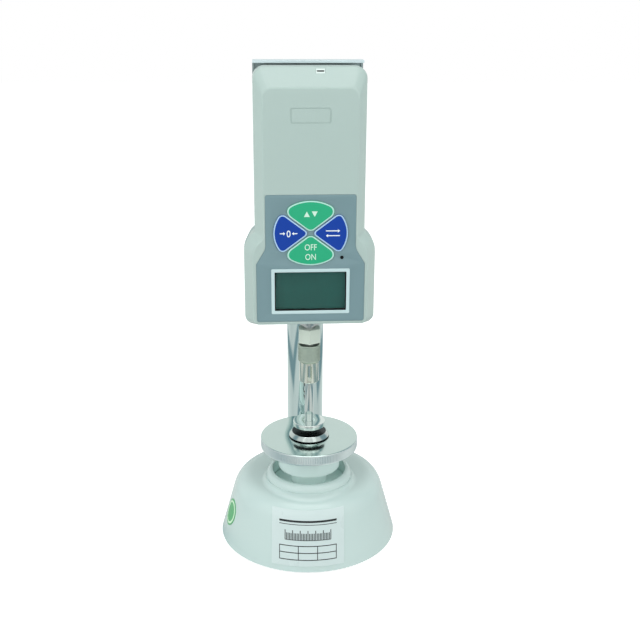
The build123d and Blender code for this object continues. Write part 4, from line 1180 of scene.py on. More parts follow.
@dataclass
class BaseCasting:
    """Round painted casting with the label on its front and the sticker on its flank."""

    foot_r: float = 60.0
    rim_z: float = 1.5
    flank_r: float = 51.1
    flank_z: float = 33.6
    crown_r: float = 37.9
    crown_z: float = 44.3
    flank_pull: float = 6.6
    crown_pull: float = 7.8
    film: float = 0.25
    label_turn: float = -93.0
    label_half: float = 24.3
    label_low_z: float = 5.2
    label_high_z: float = 40.3
    ruling_half: float = 19.0
    head_low_z: float = 33.0
    head_high_z: float = 34.3
    line_low_z: float = 31.4
    scale_half: float = 15.0
    scale_z: float = 22.0
    scale_line: float = 0.4
    ticks: int = 31
    tick_half: float = 0.27
    long_tick_z: float = 28.0
    short_tick_z: float = 26.2
    table_rows_z: tuple[float, ...] = (17.8, 13.4, 9.0)
    table_row: float = 0.55
    table_columns: tuple[float, ...] = (-19.0, -6.5, 6.0, 18.5)
    table_column: float = 0.5
    sticker_turn: float = 193.0
    sticker_z: float = 20.5
    sticker_r: float = 8.75
    ring_inner_r: float = 6.3
    ring_outer_r: float = 7.7

    def skin_line(self) -> np.ndarray:
        """Outer half section of the casting: a straight flank, then a cubic curve over the shoulder.

        Returns:
            Rows of radius and height, from the rim to the crown.
        """
        run = np.hypot(self.foot_r - self.flank_r, self.flank_z - self.rim_z)
        aim = np.array([self.flank_r - self.foot_r, self.flank_z - self.rim_z]) / run
        ends = np.array([[self.flank_r, self.flank_z], [self.crown_r, self.crown_z]])
        low_pull = ends[0] + aim * self.flank_pull
        high_pull = ends[1] + np.array([self.crown_pull, 0.0])
        t = np.linspace(0.0, 1.0, 40)[:, None]
        curve = (1 - t) ** 3 * ends[0] + 3 * (1 - t) ** 2 * t * low_pull
        curve = curve + 3 * (1 - t) * t**2 * high_pull + t**3 * ends[1]
        straight = np.linspace([self.foot_r, self.rim_z], ends[0], 24)
        return np.concatenate([straight, curve[1:]])

    def wrap(self, turn: float, across: np.ndarray, up: np.ndarray, lift: float) -> np.ndarray:
        """Points on the flank, from distances along it.

        The height is read from the flank's section, the radius grows by lift, and the angle is turn
        plus across divided by the radius.

        Args:
            turn: Angle of the middle in degrees.
            across: Distance to the right of the middle, seen from outside, in millimetres.
            up: Height above the table in millimetres.
            lift: Distance above the casting's skin.

        Returns:
            Array of points with a last axis of three.
        """
        line = self.skin_line()
        radius = np.interp(up, line[:, 1], line[:, 0])
        angle = np.radians(turn) + across / radius
        return np.stack([(radius + lift) * np.cos(angle), (radius + lift) * np.sin(angle), up], -1)

    def strips(
        self, name: str, marks: Sequence[Sides], lift: float, deep: float = 0.06, rows: int = 4
    ) -> bpy.types.Object:
        """Thin films on the flank about the label's middle, in one piece.

        A film's front is a grid of points at lift above the skin, and its back is the same grid
        deeper by deep. Their outer rings are joined by a wall.

        Args:
            name: Name of the piece.
            marks: Left, right, low and high of each film in millimetres.
            lift: Distance of their fronts above the skin.
            deep: Their thickness.
            rows: Points in the height of each.

        Returns:
            The new piece.
        """
        bars = []
        columns = 41
        number = np.arange(rows * columns).reshape(rows, columns)
        cells = [number[:-1, :-1], number[:-1, 1:], number[1:, 1:], number[1:, :-1]]
        faces = np.stack(cells, -1).reshape(-1, 4)
        for left, right, low, high in marks:
            steps = (np.linspace(left, right, columns), np.linspace(low, high, rows))
            across, up = np.meshgrid(*steps)
            sides = [self.wrap(self.label_turn, across, up, lift - down) for down in (0.0, deep)]
            rings = [
                np.concatenate([side[0], side[1:-1, -1], side[-1, ::-1], side[-2:0:-1, 0]])
                for side in sides
            ]
            step = np.arange(len(rings[0]))
            ahead = (step + 1) % len(step)
            around = np.stack([step, ahead, ahead + len(step), step + len(step)], 1)
            bars.append(link_mesh(f"{name}_wall", np.concatenate(rings), around))
            grid = np.concatenate([side.reshape(-1, 3) for side in sides])
            both = np.concatenate([faces, faces + rows * columns])
            bars.append(link_mesh(f"{name}_face", grid, both))
        return join_up(name, bars, 30.0, True)

    def disc(
        self, name: str, inner: float, outer: float, lift: float, ring_deep: float = 0.1
    ) -> bpy.types.Object:
        """Round film or ring at the sticker's place: circles of a radius, wrapped onto the skin.

        Args:
            name: Name of the piece.
            inner: Radius of the hole, or 0 for a full disc.
            outer: Outer radius in millimetres.
            lift: Distance of its front above the skin.
            ring_deep: How far a ring's inner edge goes in.

        Returns:
            The new piece.
        """
        back = lift - self.film
        rows = [(inner, lift - ring_deep), (inner, lift), (outer, lift), (outer, back)]
        if inner <= 0.0:
            rows = [(0.0, lift), (outer / 2, lift), (outer, lift), (outer, back), (0.0, back)]
        grid = []
        for radius, height in rows:
            ring = circle(radius, 64)
            grid.append(self.wrap(self.sticker_turn, ring[:, 0], self.sticker_z + ring[:, 1], height))
        return skin(name, np.stack(grid), inner > 0.0)

    def ruling(self) -> list[Sides]:
        """Bars of the label: a ruled head, a scale of ticks and an empty table.

        Returns:
            Left, right, low and high of each bar in millimetres.
        """
        half, low = self.ruling_half, self.scale_z
        end, line = self.scale_half, self.scale_line
        marks = [
            (-half, half, self.head_low_z, self.head_high_z),
            (-half, half, self.line_low_z, self.line_low_z + line),
        ]
        for step, x in enumerate(np.linspace(-end, end, self.ticks)):
            high = self.long_tick_z if step % 5 == 0 else self.short_tick_z
            marks.append((x - self.tick_half, x + self.tick_half, low, high))
        marks.append((-end - 0.22, end + 0.22, low - line, low))
        marks += [(-half, half, z, z + self.table_row) for z in self.table_rows_z]
        bottom, top = self.table_rows_z[-1], self.table_rows_z[0] + self.table_row
        marks += [(x, x + self.table_column, bottom, top) for x in self.table_columns]
        return marks

    def build(self) -> None:
        """Dress the casting, and print its label and sticker."""
        dress_nodes(CASTING_ENAMEL, "base_shell")
        half, film = self.label_half, self.film
        edges = (-half, half, self.label_low_z, self.label_high_z)
        sheet = self.strips("label_sheet", [edges], film, film, 28)
        place(sheet, LABEL_FILM, Body.BASE, "label_film", "rating_label")
        lines = self.strips("label_ruling", self.ruling(), film + 0.03)
        place(lines, LABEL_PRINT, Body.BASE, "label_film")
        dot = self.disc("sticker_face", 0.0, self.sticker_r, film)
        place(dot, STICKER_GREEN, Body.BASE, "sticker_green", "inspection_sticker")
        ring = self.disc("sticker_ring", self.ring_inner_r, self.ring_outer_r, film + 0.04)
        place(ring, STICKER_RING, Body.BASE, "sticker_green")


@dataclass
class HandWheel:
    """Polished wheel with a knurled rim, and the neck under it."""

    rim_r: float = 32.25
    rim_low_z: float = 70.0
    top_z: float = 77.2
    neck_r: float = 20.5
    neck_low_z: float = 55.4
    bore_r: float = 12.05
    grooves: int = 180
    groove_deep: float = 0.32
    knurl_margin: float = 1.0
    top_round: float = 0.95

    def knurl(self, radius: np.ndarray, angle: np.ndarray, height: np.ndarray) -> np.ndarray:
        """Radius less a groove wave: depth times half of one plus the cosine of grooves times angle.

        Args:
            radius: Radius of each point in millimetres.
            angle: Angle of each point.
            height: Height of each point.

        Returns:
            Final radii.
        """
        band = radius > self.rim_r - 0.05
        band &= height > self.rim_low_z + self.knurl_margin
        band &= height < self.top_z - self.knurl_margin
        wave = self.groove_deep * (0.5 + 0.5 * np.cos(self.grooves * angle))
        return np.where(band, radius - wave, radius)

    def on_rim(self, at: np.ndarray) -> np.ndarray:
        """Whether faces lie on the rim's band.

        Args:
            at: Middles of the faces in millimetres.

        Returns:
            True for those on the band.
        """
        reach = np.hypot(at[:, 0], at[:, 1] - STAGE_Y)
        upright = (at[:, 2] > self.rim_low_z + 0.2) & (at[:, 2] < self.top_z - 0.35)
        return upright & (reach > self.rim_r - 0.6)

    def build(self) -> None:
        """Build the wheel."""
        low, high = self.rim_low_z + self.knurl_margin, self.top_z - self.knurl_margin
        step = 0.01
        corners = [
            (self.bore_r, self.neck_low_z),
            (self.neck_r, self.neck_low_z),
            (self.neck_r, self.rim_low_z),
            (self.rim_r, self.rim_low_z),
            (self.rim_r, low),
            (self.rim_r, low + step),
            (self.rim_r, high - step),
            (self.rim_r, high),
            (self.rim_r, self.top_z),
            (self.bore_r, self.top_z),
        ]
        radii = [0.2, 0.7, 0.6, 0.7, 0, 0, 0, 0, self.top_round, 0.3]
        line = rounded_line(corners, radii, 5, True)
        wheel = lathe("hand_wheel", line, STAGE_Y, self.grooves * 6, self.knurl, True)
        place(wheel, DISC_CHROME, Body.WHEEL, "polished_steel", "stage_wheel")
        paint(wheel, NECK_SATIN, lambda at: at[:, 2] < self.rim_low_z - 0.05)
        paint(wheel, RIM_STEEL, self.on_rim)


@dataclass
class Anvil:
    """Anvil with its conical edge, its spindle, and the groove and slot in the spindle."""

    spindle_r: float = 6.0
    low_z: float = 17.4
    groove_r: float = 5.2
    groove_low_z: float = 19.4
    groove_high_z: float = 20.8
    plate_z: float = 77.4
    under_r: float = 12.5
    plate_r: float = 13.4
    edge_z: float = 77.95
    face_r: float = 11.3
    face_z: float = 80.5
    slot_half: float = 1.65
    slot_top_z: float = 37.6

    def build(self) -> None:
        """Build the anvil."""
        corners = [
            (0.0, self.low_z),
            (self.spindle_r, self.low_z),
            (self.spindle_r, self.groove_low_z),
            (self.groove_r, self.groove_low_z),
            (self.groove_r, self.groove_high_z),
            (self.spindle_r, self.groove_high_z),
            (self.spindle_r, self.plate_z),
            (self.under_r, self.plate_z),
            (self.plate_r, self.edge_z),
            (self.face_r + 0.2, self.face_z - 0.15),
            (self.face_r, self.face_z),
            (0.0, self.face_z),
        ]
        radii = [0, 0.4, 0, 0, 0, 0, 0.2, 0.05, 0.12, 0.1, 0.1, 0]
        anvil = lathe("anvil_plate", rounded_line(corners, radii, 4), STAGE_Y, 128)
        past = self.spindle_r + 1.0
        sides = (-self.slot_half, self.slot_half, STAGE_Y - past, STAGE_Y + past)
        carve(anvil, [upright_block("blade_slot", sides, self.low_z - 0.4, self.slot_top_z)])
        place(anvil, CHROME, Body.ANVIL, "polished_steel", "anvil")
        # Painted shade: the anvil's top face and its edge's underside are darkened for the gap under
        # the foot
        face = between(self.face_z - 0.01, self.face_z + 1.0)
        undercut = between(self.plate_z - 0.1, self.edge_z - 0.05)
        paint(anvil, PAINTED_SHADE_STEEL, lambda at: face(at) | undercut(at))


@dataclass
class Stage:
    """Hand wheel and anvil, and the parts that lift and guide them."""

    wheel: HandWheel
    anvil: Anvil

    def build(self) -> None:
        """Build the wheel and the anvil, and dress the rest."""
        self.wheel.build()
        self.anvil.build()
        # Painted light on the lift screw and nut, in the shaded gap under the wheel
        dress_nodes(NUT_PAINTED_LIGHT, "lift_screw", "lift_nut")
        dress_nodes(TURNED_STEEL, "thrust_bearing", "spindle_ring", "guide_blade")
        dress_nodes(DARK_STEEL, "wheel_set_screws")
        dress_nodes(SCREW_STEEL, "lift_nut_screws", "guide_blade_screws")


@dataclass
class PressTrain:
    """Pressing foot, rod, collet, sleeve and nut under the gauge."""

    foot_low_z: float = 84.8
    foot_high_z: float = 88.1
    foot_r: float = 10.55
    rod_low_z: float = 86.1
    rod_high_z: float = 129.0
    rod_r: float = 2.85
    rod_fit: float = 0.05
    bore_r: float = 4.05
    sleeve_low_z: float = 131.1
    sleeve_high_z: float = 142.5
    sleeve_r: float = 7.2
    sleeve_margin: float = 0.9
    sleeve_grooves: int = 72
    sleeve_deep: float = 0.09
    nut_low_z: float = 143.7
    nut_high_z: float = 153.7
    nut_flat: float = 6.7
    nut_bevel_r: float = 0.85
    nut_bevel_z: float = 0.45

    def hexagon(self, radius: np.ndarray, angle: np.ndarray, height: np.ndarray) -> np.ndarray:
        """Smaller of the cone's radius and flat / cos of the angle to the nearest flat's middle.

        Args:
            radius: Radius of each point in millimetres.
            angle: Angle of each point.
            height: Height of each point, which doesn't count.

        Returns:
            Final radii.
        """
        half_side = TURN / 12.0
        to_flat = np.mod(angle + half_side, 2.0 * half_side) - half_side
        outer = radius > self.nut_flat - 0.7
        return np.where(outer, np.minimum(radius, self.nut_flat / np.cos(to_flat)), radius)

    def fine_knurl(self, radius: np.ndarray, angle: np.ndarray, height: np.ndarray) -> np.ndarray:
        """Radius less the larger of two crossed spiral waves, which leaves small diamonds.

        Args:
            radius: Radius of each point in millimetres.
            angle: Angle of each point.
            height: Height of each point.

        Returns:
            Final radii.
        """
        band = (radius > self.sleeve_r - 0.02) & (height > self.sleeve_low_z + self.sleeve_margin)
        band &= height < self.sleeve_high_z - self.sleeve_margin
        turn = self.sleeve_grooves * angle
        rise = self.sleeve_grooves * (height - self.sleeve_low_z) / self.sleeve_r
        wave = np.maximum(np.cos(turn + rise), np.cos(turn - rise))
        return np.where(band, radius - self.sleeve_deep * (1.0 + wave), radius)

    def foot(self) -> None:
        """Build the foot and its rod."""
        socket_r = self.rod_r + self.rod_fit
        line = [
            (0.0, self.foot_low_z),
            (self.foot_r, self.foot_low_z),
            (self.foot_r, self.foot_high_z),
            (socket_r, self.foot_high_z),
            (socket_r, self.rod_low_z),
            (0.0, self.rod_low_z),
        ]
        foot = lathe("foot_plate", rounded_line(line, [0, 0.35, 0.35, 0.1, 0, 0], 5), STAGE_Y, 128)
        place(foot, FOOT_CHROME, Body.BASE, "chrome", "pressing_foot")
        # Painted shade: the foot's underside is darkened where it hangs over the anvil
        paint(foot, PAINTED_SHADE_STEEL, lambda at: at[:, 2] < self.foot_low_z + 0.02)
        line = [
            (0.0, self.rod_low_z),
            (self.rod_r, self.rod_low_z),
            (self.rod_r, self.rod_high_z),
            (0.0, self.rod_high_z),
        ]
        rod = lathe("foot_rod", rounded_line(line, [0, 0.2, 0.2, 0], 3), STAGE_Y, 64)
        place(rod, CHROME, Body.BASE, "chrome", "probe_rod")

    def sleeve(self) -> None:
        """Build the finely knurled sleeve."""
        corners = [
            (self.bore_r, self.sleeve_low_z),
            (self.sleeve_r, self.sleeve_low_z),
            (self.sleeve_r, self.sleeve_high_z),
            (self.bore_r, self.sleeve_high_z),
        ]
        line = rounded_line(corners, [0.1, 0.4, 0.4, 0.1], 4, True)
        line = dense(np.concatenate([line, line[:1]]), 0.28)[:-1]
        spans = self.sleeve_grooves * 6
        sleeve = lathe("grip_sleeve", line, STAGE_Y, spans, self.fine_knurl, True, 60.0)
        place(sleeve, SLEEVE_STEEL, Body.BASE, "matt_steel", "coupling_sleeve")

    def nut(self) -> None:
        """Build the hexagon nut, bevelled at both ends."""
        corner_r = self.nut_flat / np.cos(TURN / 12.0)
        corners = [
            (self.bore_r, self.nut_low_z),
            (corner_r - self.nut_bevel_r, self.nut_low_z),
            (corner_r, self.nut_low_z + self.nut_bevel_z),
            (corner_r, self.nut_high_z - self.nut_bevel_z),
            (corner_r - self.nut_bevel_r, self.nut_high_z),
            (self.bore_r, self.nut_high_z),
        ]
        line = rounded_line(corners, [0.1, 0.25, 0.2, 0.2, 0.25, 0.1], 3, True)
        line = dense(np.concatenate([line, line[:1]]), 0.5)[:-1]
        nut = lathe("hexagon_nut", line, STAGE_Y, 240, self.hexagon, True, 24.0)
        place(nut, NUT_PLATING, Body.BASE, "chrome", "lock_nut")
        # Painted shade: a dark band round the nut's bottom stands in for the shadow gap over the
        # sleeve
        paint(nut, PAINTED_SHADE_STEEL, lambda at: at[:, 2] < self.nut_low_z + 0.5)

    def build(self) -> None:
        """Build the train and dress the rest."""
        self.foot()
        self.sleeve()
        self.nut()
        dress_nodes(COLLET_CHROME, "collet")
        dress_nodes(TURNED_STEEL, "gauge_shaft", "shaft_bush")


@dataclass
class PillarAndTray:
    """Chromed pillar, the clamp on it and the bent sheet that backs the gauge."""

    radius: float = 12.5
    low_z: float = 20.0
    high_z: float = 300.0
    tap_r: float = 4.0
    tap_deep: float = 18.0
    fold_z: float = 318.2
    roof_z: float = 318.62
    roof_front_y: float = 2.4

    def build(self) -> None:
        """Build the pillar and the tray, and dress the clamp and fasteners."""
        tap_z = self.low_z + self.tap_deep
        corners = [
            (0.0, tap_z),
            (self.tap_r, tap_z),
            (self.tap_r, self.low_z),
            (self.radius, self.low_z),
            (self.radius, self.high_z),
            (0.0, self.high_z),
        ]
        line = rounded_line(corners, [0, 0, 0.2, 0.9, 1.1, 0], 5)
        pillar = lathe("pillar_bar", line, COLUMN_Y, 160)
        place(pillar, COLUMN_CHROME, Body.BASE, "chrome", "column")
        sheet = softened("gauge_tray", 0.35)
        place(sheet, TRAY_ZINC, Body.BASE, "tray_paint", "gauge_tray")
        # Painted light: the roof's top faces are paler than the rest of the sheet
        paint(sheet, TRAY_TOP_LIGHT, lambda at: at[:, 2] > self.roof_z)
        # Painted shade: the front of the roof's underside is darkened for the gap over the gauge
        under = between(self.fold_z, self.roof_z)
        paint(sheet, TRAY_GAP_SHADE, lambda at: under(at) & (at[:, 1] < self.roof_front_y))
        dress_nodes(CAST_ALUMINIUM, "column_clamp")
        dress_nodes(SCREW_STEEL, "clamp_screws", "clamp_plate_screws", "tray_screws")
        dress_nodes(DARK_STEEL, "base_plate")
        dress_nodes(SCREW_STEEL, "base_plate_screws", "column_bolt", "column_washer")
        dress_nodes(RUBBER, "rubber_feet")


@dataclass(frozen=True)
class Opening:
    """Rectangle in the front of the gauge: its middle, width and height in millimetres."""

    z: float
    width: float
    height: float

    def outline(self, grow: float, radius: float) -> np.ndarray:
        """Outline of the opening.

        Args:
            grow: How much wider and higher it is drawn, in all.
            radius: Radius of the corners.

        Returns:
            Rows of x and z in millimetres.
        """
        return rectangle(0.0, self.z, self.width + grow, self.height + grow, radius)


@dataclass
class PanelSheet:
    """Outline of the printed sheet on the front of the gauge."""

    upper_half: float = 27.7
    lower_half: float = 33.5
    bottom_z: float = 162.8
    top_z: float = 243.4
    flare_low_z: float = 200.2
    flare_high_z: float = 209.8

    def grown(self, grow: float) -> np.ndarray:
        """Outline moved outwards, with eight rounded corners.

        Args:
            grow: Distance that each side is moved by.

        Returns:
            Rows of x and z in millimetres.
        """
        right = [
            (self.lower_half + grow, self.bottom_z - grow),
            (self.lower_half + grow, self.flare_low_z + grow * 0.5),
            (self.upper_half + grow, self.flare_high_z + grow * 0.5),
            (self.upper_half + grow, self.top_z + grow),
        ]
        left = [(-x, z) for x, z in right[::-1]]
        rounds = [1.4 + grow, 1.0 + grow, 9.0 - grow, 1.4 + grow]
        return rounded_line(right + left, rounds + rounds[::-1], 8, True)


PANEL = PanelSheet()
KEYS_Z = 219.6
DISPLAY = Opening(182.4, 44.5, 25.0)
BADGE_PLACE = Opening(290.6, 24.0, 9.0)


@dataclass
class GaugeCase:
    """The two moulded halves of the gauge body."""

    top_z: float = 317.9
    bottom_z: float = 158.5
    upper_half: float = 34.1
    lower_half: float = 41.0
    flare_z: float = 213.1
    flare_angle: float = 52.0
    front_y: float = -26.5
    shoulder_y: float = -17.0
    seam_y: float = -8.0
    seam_edge: float = 0.3
    back_y: float = 11.5
    wall: float = 2.5
    side_slope: float = 5.4
    top_slope: float = 11.4
    bottom_slope: float = 2.4
    bush_r: float = 6.05
    post_r: float = 4.2
    post_hole_r: float = 1.5
    posts: Profile = ((34.5, 166.5), (27.0, 309.0), (-34.5, 166.5), (-27.0, 309.0))
    port_slot: Sides = (3.2, 8.8, -20.1, -17.7)
    port_low_z: float = 307.88
    port_fit: float = 0.15
    mouth_low_z: float = 309.9

    def outline(self, y: float, side: float, top: float, bottom: float) -> np.ndarray:
        """Front outline at one depth: eight rounded corners, drawn inside by three insets.

        Args:
            y: Depth in millimetres.
            side: Inset of the sides.
            top: Inset of the top.
            bottom: Inset of the bottom.

        Returns:
            Array of points, three columns.
        """
        up = self.upper_half - side
        low = self.lower_half - side
        flare_low = self.flare_z - side * np.tan(np.radians(self.flare_angle / 2))
        flare_high = flare_low + (low - up) / np.tan(np.radians(self.flare_angle))
        z_top = self.top_z - top
        z_bottom = self.bottom_z + bottom
        right = [(low, z_bottom), (low, flare_low), (up, flare_high), (up, z_top)]
        left = [(-x, z) for x, z in right[::-1]]
        shrink = side * 0.3
        rounds = [5.5 - shrink, max(16.0 - side, 1.0), 1.5 + side, 7.0 - shrink]
        line = rounded_line(right + left, rounds + rounds[::-1], 10, True)
        return np.stack([line[:, 0], np.full(len(line), y), line[:, 1]], 1)

    def slope_line(self, wall: float) -> np.ndarray:
        """Side inset against depth, from the seam over the rounded shoulder to the front face.

        Args:
            wall: Thickness inside the outer skin, or 0 for the skin itself.

        Returns:
            Rows of inset and depth.
        """
        outside = wall == 0.0
        lip = self.seam_edge if outside else 0.0
        shoulder_round, face_round = (4.0, 1.4) if outside else (1.0, 0.4)
        plateau = self.side_slope + wall
        corners = [
            (wall + lip, self.seam_y),
            (wall, self.seam_y - self.seam_edge),
            (wall, self.shoulder_y),
            (plateau, self.front_y + wall),
            (plateau + 4.0, self.front_y + wall),
        ]
        return rounded_line(corners, [0.0, 0.1, shoulder_round, face_round, 0.0], 7)

    def ring(self, side: float, y: float, wall: float) -> np.ndarray:
        """Outline whose top and bottom insets follow the side inset in proportion up to the face.

        Args:
            side: Inset of the sides.
            y: Depth in millimetres.
            wall: Thickness inside the outer skin.

        Returns:
            Array of points, three columns.
        """
        run = min(max(side - wall, 0.0), self.side_slope)
        past = max(side - wall - self.side_slope, 0.0)
        top = wall + run * self.top_slope / self.side_slope + past
        bottom = wall + run * self.bottom_slope / self.side_slope + past
        return self.outline(y, side, top, bottom)

    def capped(self, name: str, rings: Sequence[np.ndarray]) -> bpy.types.Object:
        """Closed skin over a stack of rings, with a flat face at each end.

        Args:
            name: Name of the object.
            rings: Outlines of the same number of points.

        Returns:
            The new object.
        """
        grid = np.stack(rings)
        rows, columns = grid.shape[:2]
        number = np.arange(rows * columns).reshape(rows, columns)
        corners = [number[:-1], np.roll(number[:-1], -1, 1), np.roll(number[1:], -1, 1), number[1:]]
        faces = np.stack(corners, -1).reshape(-1, 4).tolist()
        mesh = bpy.data.meshes.new(name)
        points = (grid.reshape(-1, 3) * MM).tolist()
        mesh.from_pydata(points, [], faces + [number[0].tolist(), number[-1].tolist()])
        return finish_mesh(name, mesh, 30.0)

    def bush_hole(self) -> bpy.types.Object:
        """Cutter for the hole that the shaft's bush sits in.

        Returns:
            The new object.
        """
        low, high = self.bottom_z - 8.5, self.bottom_z + 4.5
        profile = [(0.0, low), (self.bush_r, low), (self.bush_r, high), (0.0, high)]
        return lathe("bush_hole", np.array(profile), STAGE_Y, 48)

    def front_half(self) -> bpy.types.Object:
        """Front half: a shell from the inner face round the seam to the outer face.

        Returns:
            The new piece.
        """
        outer = [self.ring(side, y, 0.0) for side, y in self.slope_line(0.0)]
        inner = [self.ring(side, y, self.wall) for side, y in self.slope_line(self.wall)]
        case = self.capped("front_case", inner[::-1] + outer)
        ahead = self.front_y - 1.0
        badge = BADGE_PLACE.outline(0.0, 1.2)
        middle = badge.mean(0)
        half = np.abs(badge - middle).max(0)
        island = middle + (badge - middle) * (half - 0.5) / half
        cutters = [
            plate("pocket", [PANEL.grown(0.15)], ahead, 1.5),
            plate("display_well", [DISPLAY.outline(1.7, 0.4)], ahead, 2.5),
            plate("display_hole", [DISPLAY.outline(0.0, 0.4)], ahead, 4.5),
            plate("mark_groove", [badge, island], self.front_y - 0.5, 0.8),
            upright_block("port_slot", self.port_slot, self.port_low_z - 0.08, 320.0),
            self.bush_hole(),
        ]
        carve(case, cutters)
        return self.with_posts(case, "front_case_posts", self.front_y + 9.0)

    def rear_half(self) -> bpy.types.Object:
        """Rear half: a drafted tub with a rounded back edge.

        Returns:
            The new piece.
        """
        floor_y = self.back_y - self.wall
        outer_line = [
            (self.seam_edge, self.seam_y),
            (0.0, self.seam_y + self.seam_edge),
            (2.0, self.back_y),
            (8.0, self.back_y),
        ]
        inner_line = [(self.wall, self.seam_y), (self.wall + 1.8, floor_y), (9.0, floor_y)]
        outer = rounded_line(outer_line, [0, 0.1, 1.6, 0], 6)
        inner = rounded_line(inner_line, [0, 0.8, 0], 4)
        rows = [*inner[::-1], *outer]
        case = self.capped("rear_case", [self.outline(y, side, side, side) for side, y in rows])
        carve(case, [self.bush_hole()])
        return self.with_posts(case, "rear_case_posts", self.back_y - 3.0)

    def with_posts(self, case: bpy.types.Object, name: str, end_y: float) -> bpy.types.Object:
        """Case joined with its four screw posts, each a tube from the seam to the wall.

        Args:
            case: Half of the case.
            name: Name of the posts.
            end_y: Depth of their far ends.

        Returns:
            The joined piece.
        """
        rows = [
            (self.post_r, self.seam_y),
            (self.post_r, end_y),
            (self.post_hole_r, end_y),
            (self.post_hole_r, self.seam_y),
        ]
        tubes = [pin(name, x, z, rows, True) for x, z in self.posts]
        return join_up(case.name, [case, *tubes])

    def slope_block(self, name: str, sides: Sides, low: float, under: float) -> bpy.types.Object:
        """Upright block whose top follows the slope over the gauge, a little under its skin.

        Args:
            name: Name of the object.
            sides: Its left, right, front and back in millimetres.
            low: Height of its bottom.
            under: Distance of its top under the skin.

        Returns:
            The new object.
        """
        left, right, front, back = sides
        line = self.slope_line(0.0)
        depth = np.array([front, front, back, back])
        side = np.interp(depth, line[::-1, 1], line[::-1, 0])
        inset = side * self.top_slope / self.side_slope
        ring = np.column_stack([[left, right, right, left], depth])
        top = np.column_stack([ring, self.top_z - inset - under])
        base = np.column_stack([ring, np.full(4, low)])
        ends = [np.tile(row.mean(0), (4, 1)) for row in (base, top)]
        return skin(name, np.stack([ends[0], base, top, ends[1]]))

    def port(self) -> None:
        """Build the data port: a pale shell, and a dark tongue down inside its mouth."""
        rim_x, rim_y, gap = 0.5, 0.65, 0.04
        shell_sides = inside(self.port_slot, self.port_fit, self.port_fit)
        shell = self.slope_block("port_shell", shell_sides, self.port_low_z, 0.12)
        mouth = inside(shell_sides, rim_x, rim_y)
        carve(shell, [upright_block("port_mouth", mouth, self.mouth_low_z, 320.0)])
        place(shell, PORT_WHITE, Body.BASE, "pale_trim", "usb_socket")
        low = self.mouth_low_z + 0.05
        tongue = self.slope_block("port_tongue", inside(mouth, gap, gap), low, 0.3)
        place(tongue, DARK_LENS_AND_SHADE, Body.BASE, "switch_black")

    def build(self) -> None:
        """Build both halves and the port, and dress what they hold."""
        place(self.front_half(), GAUGE_MOULDING, Body.BASE, "gauge_case", "front_housing")
        place(self.rear_half(), GAUGE_MOULDING, Body.BASE, "gauge_case", "rear_housing")
        self.port()
        dress_nodes(CAST_ALUMINIUM, "chassis", "load_cell")
        dress_nodes(SCREW_STEEL, "load_cell_bolts", "housing_screws", "board_screws")
        dress_nodes(BOARD_GREEN, "main_board")
        dress_nodes(SWITCH_BLACK, "key_switches")
        dress_nodes(CELL_WRAP, "battery_cells")


def inside(sides: Sides, across: float, along: float) -> Sides:
    """Sides of a block moved inwards.

    Args:
        sides: Left, right, front and back in millimetres.
        across: How far left and right move in.
        along: How far front and back move in.

    Returns:
        The new sides.
    """
    left, right, front, back = sides
    return (left + across, right - across, front + along, back - along)


@dataclass(frozen=True)
class Petal:
    """One petal key: which way it points in degrees, its body, its finishes and its slot."""

    node: str
    turn: float
    body: Body
    finish: Skin
    border: Skin
    legend: Skin
    slot: str


PETALS = (
    Petal("key_set", 90.0, Body.SET, KEY_GREEN, BORDER_GREEN, LEGEND_SOFT, "key_green"),
    Petal("key_zero", 180.0, Body.ZERO, KEY_BLUE, BORDER_BLUE, LEGEND_WHITE, "key_blue"),
    Petal("key_unit", 0.0, Body.UNIT, KEY_BLUE, BORDER_BLUE, LEGEND_WHITE, "key_blue"),
    Petal("key_power", 270.0, Body.POWER, KEY_GREEN, BORDER_GREEN, LEGEND_SOFT, "key_green"),
)


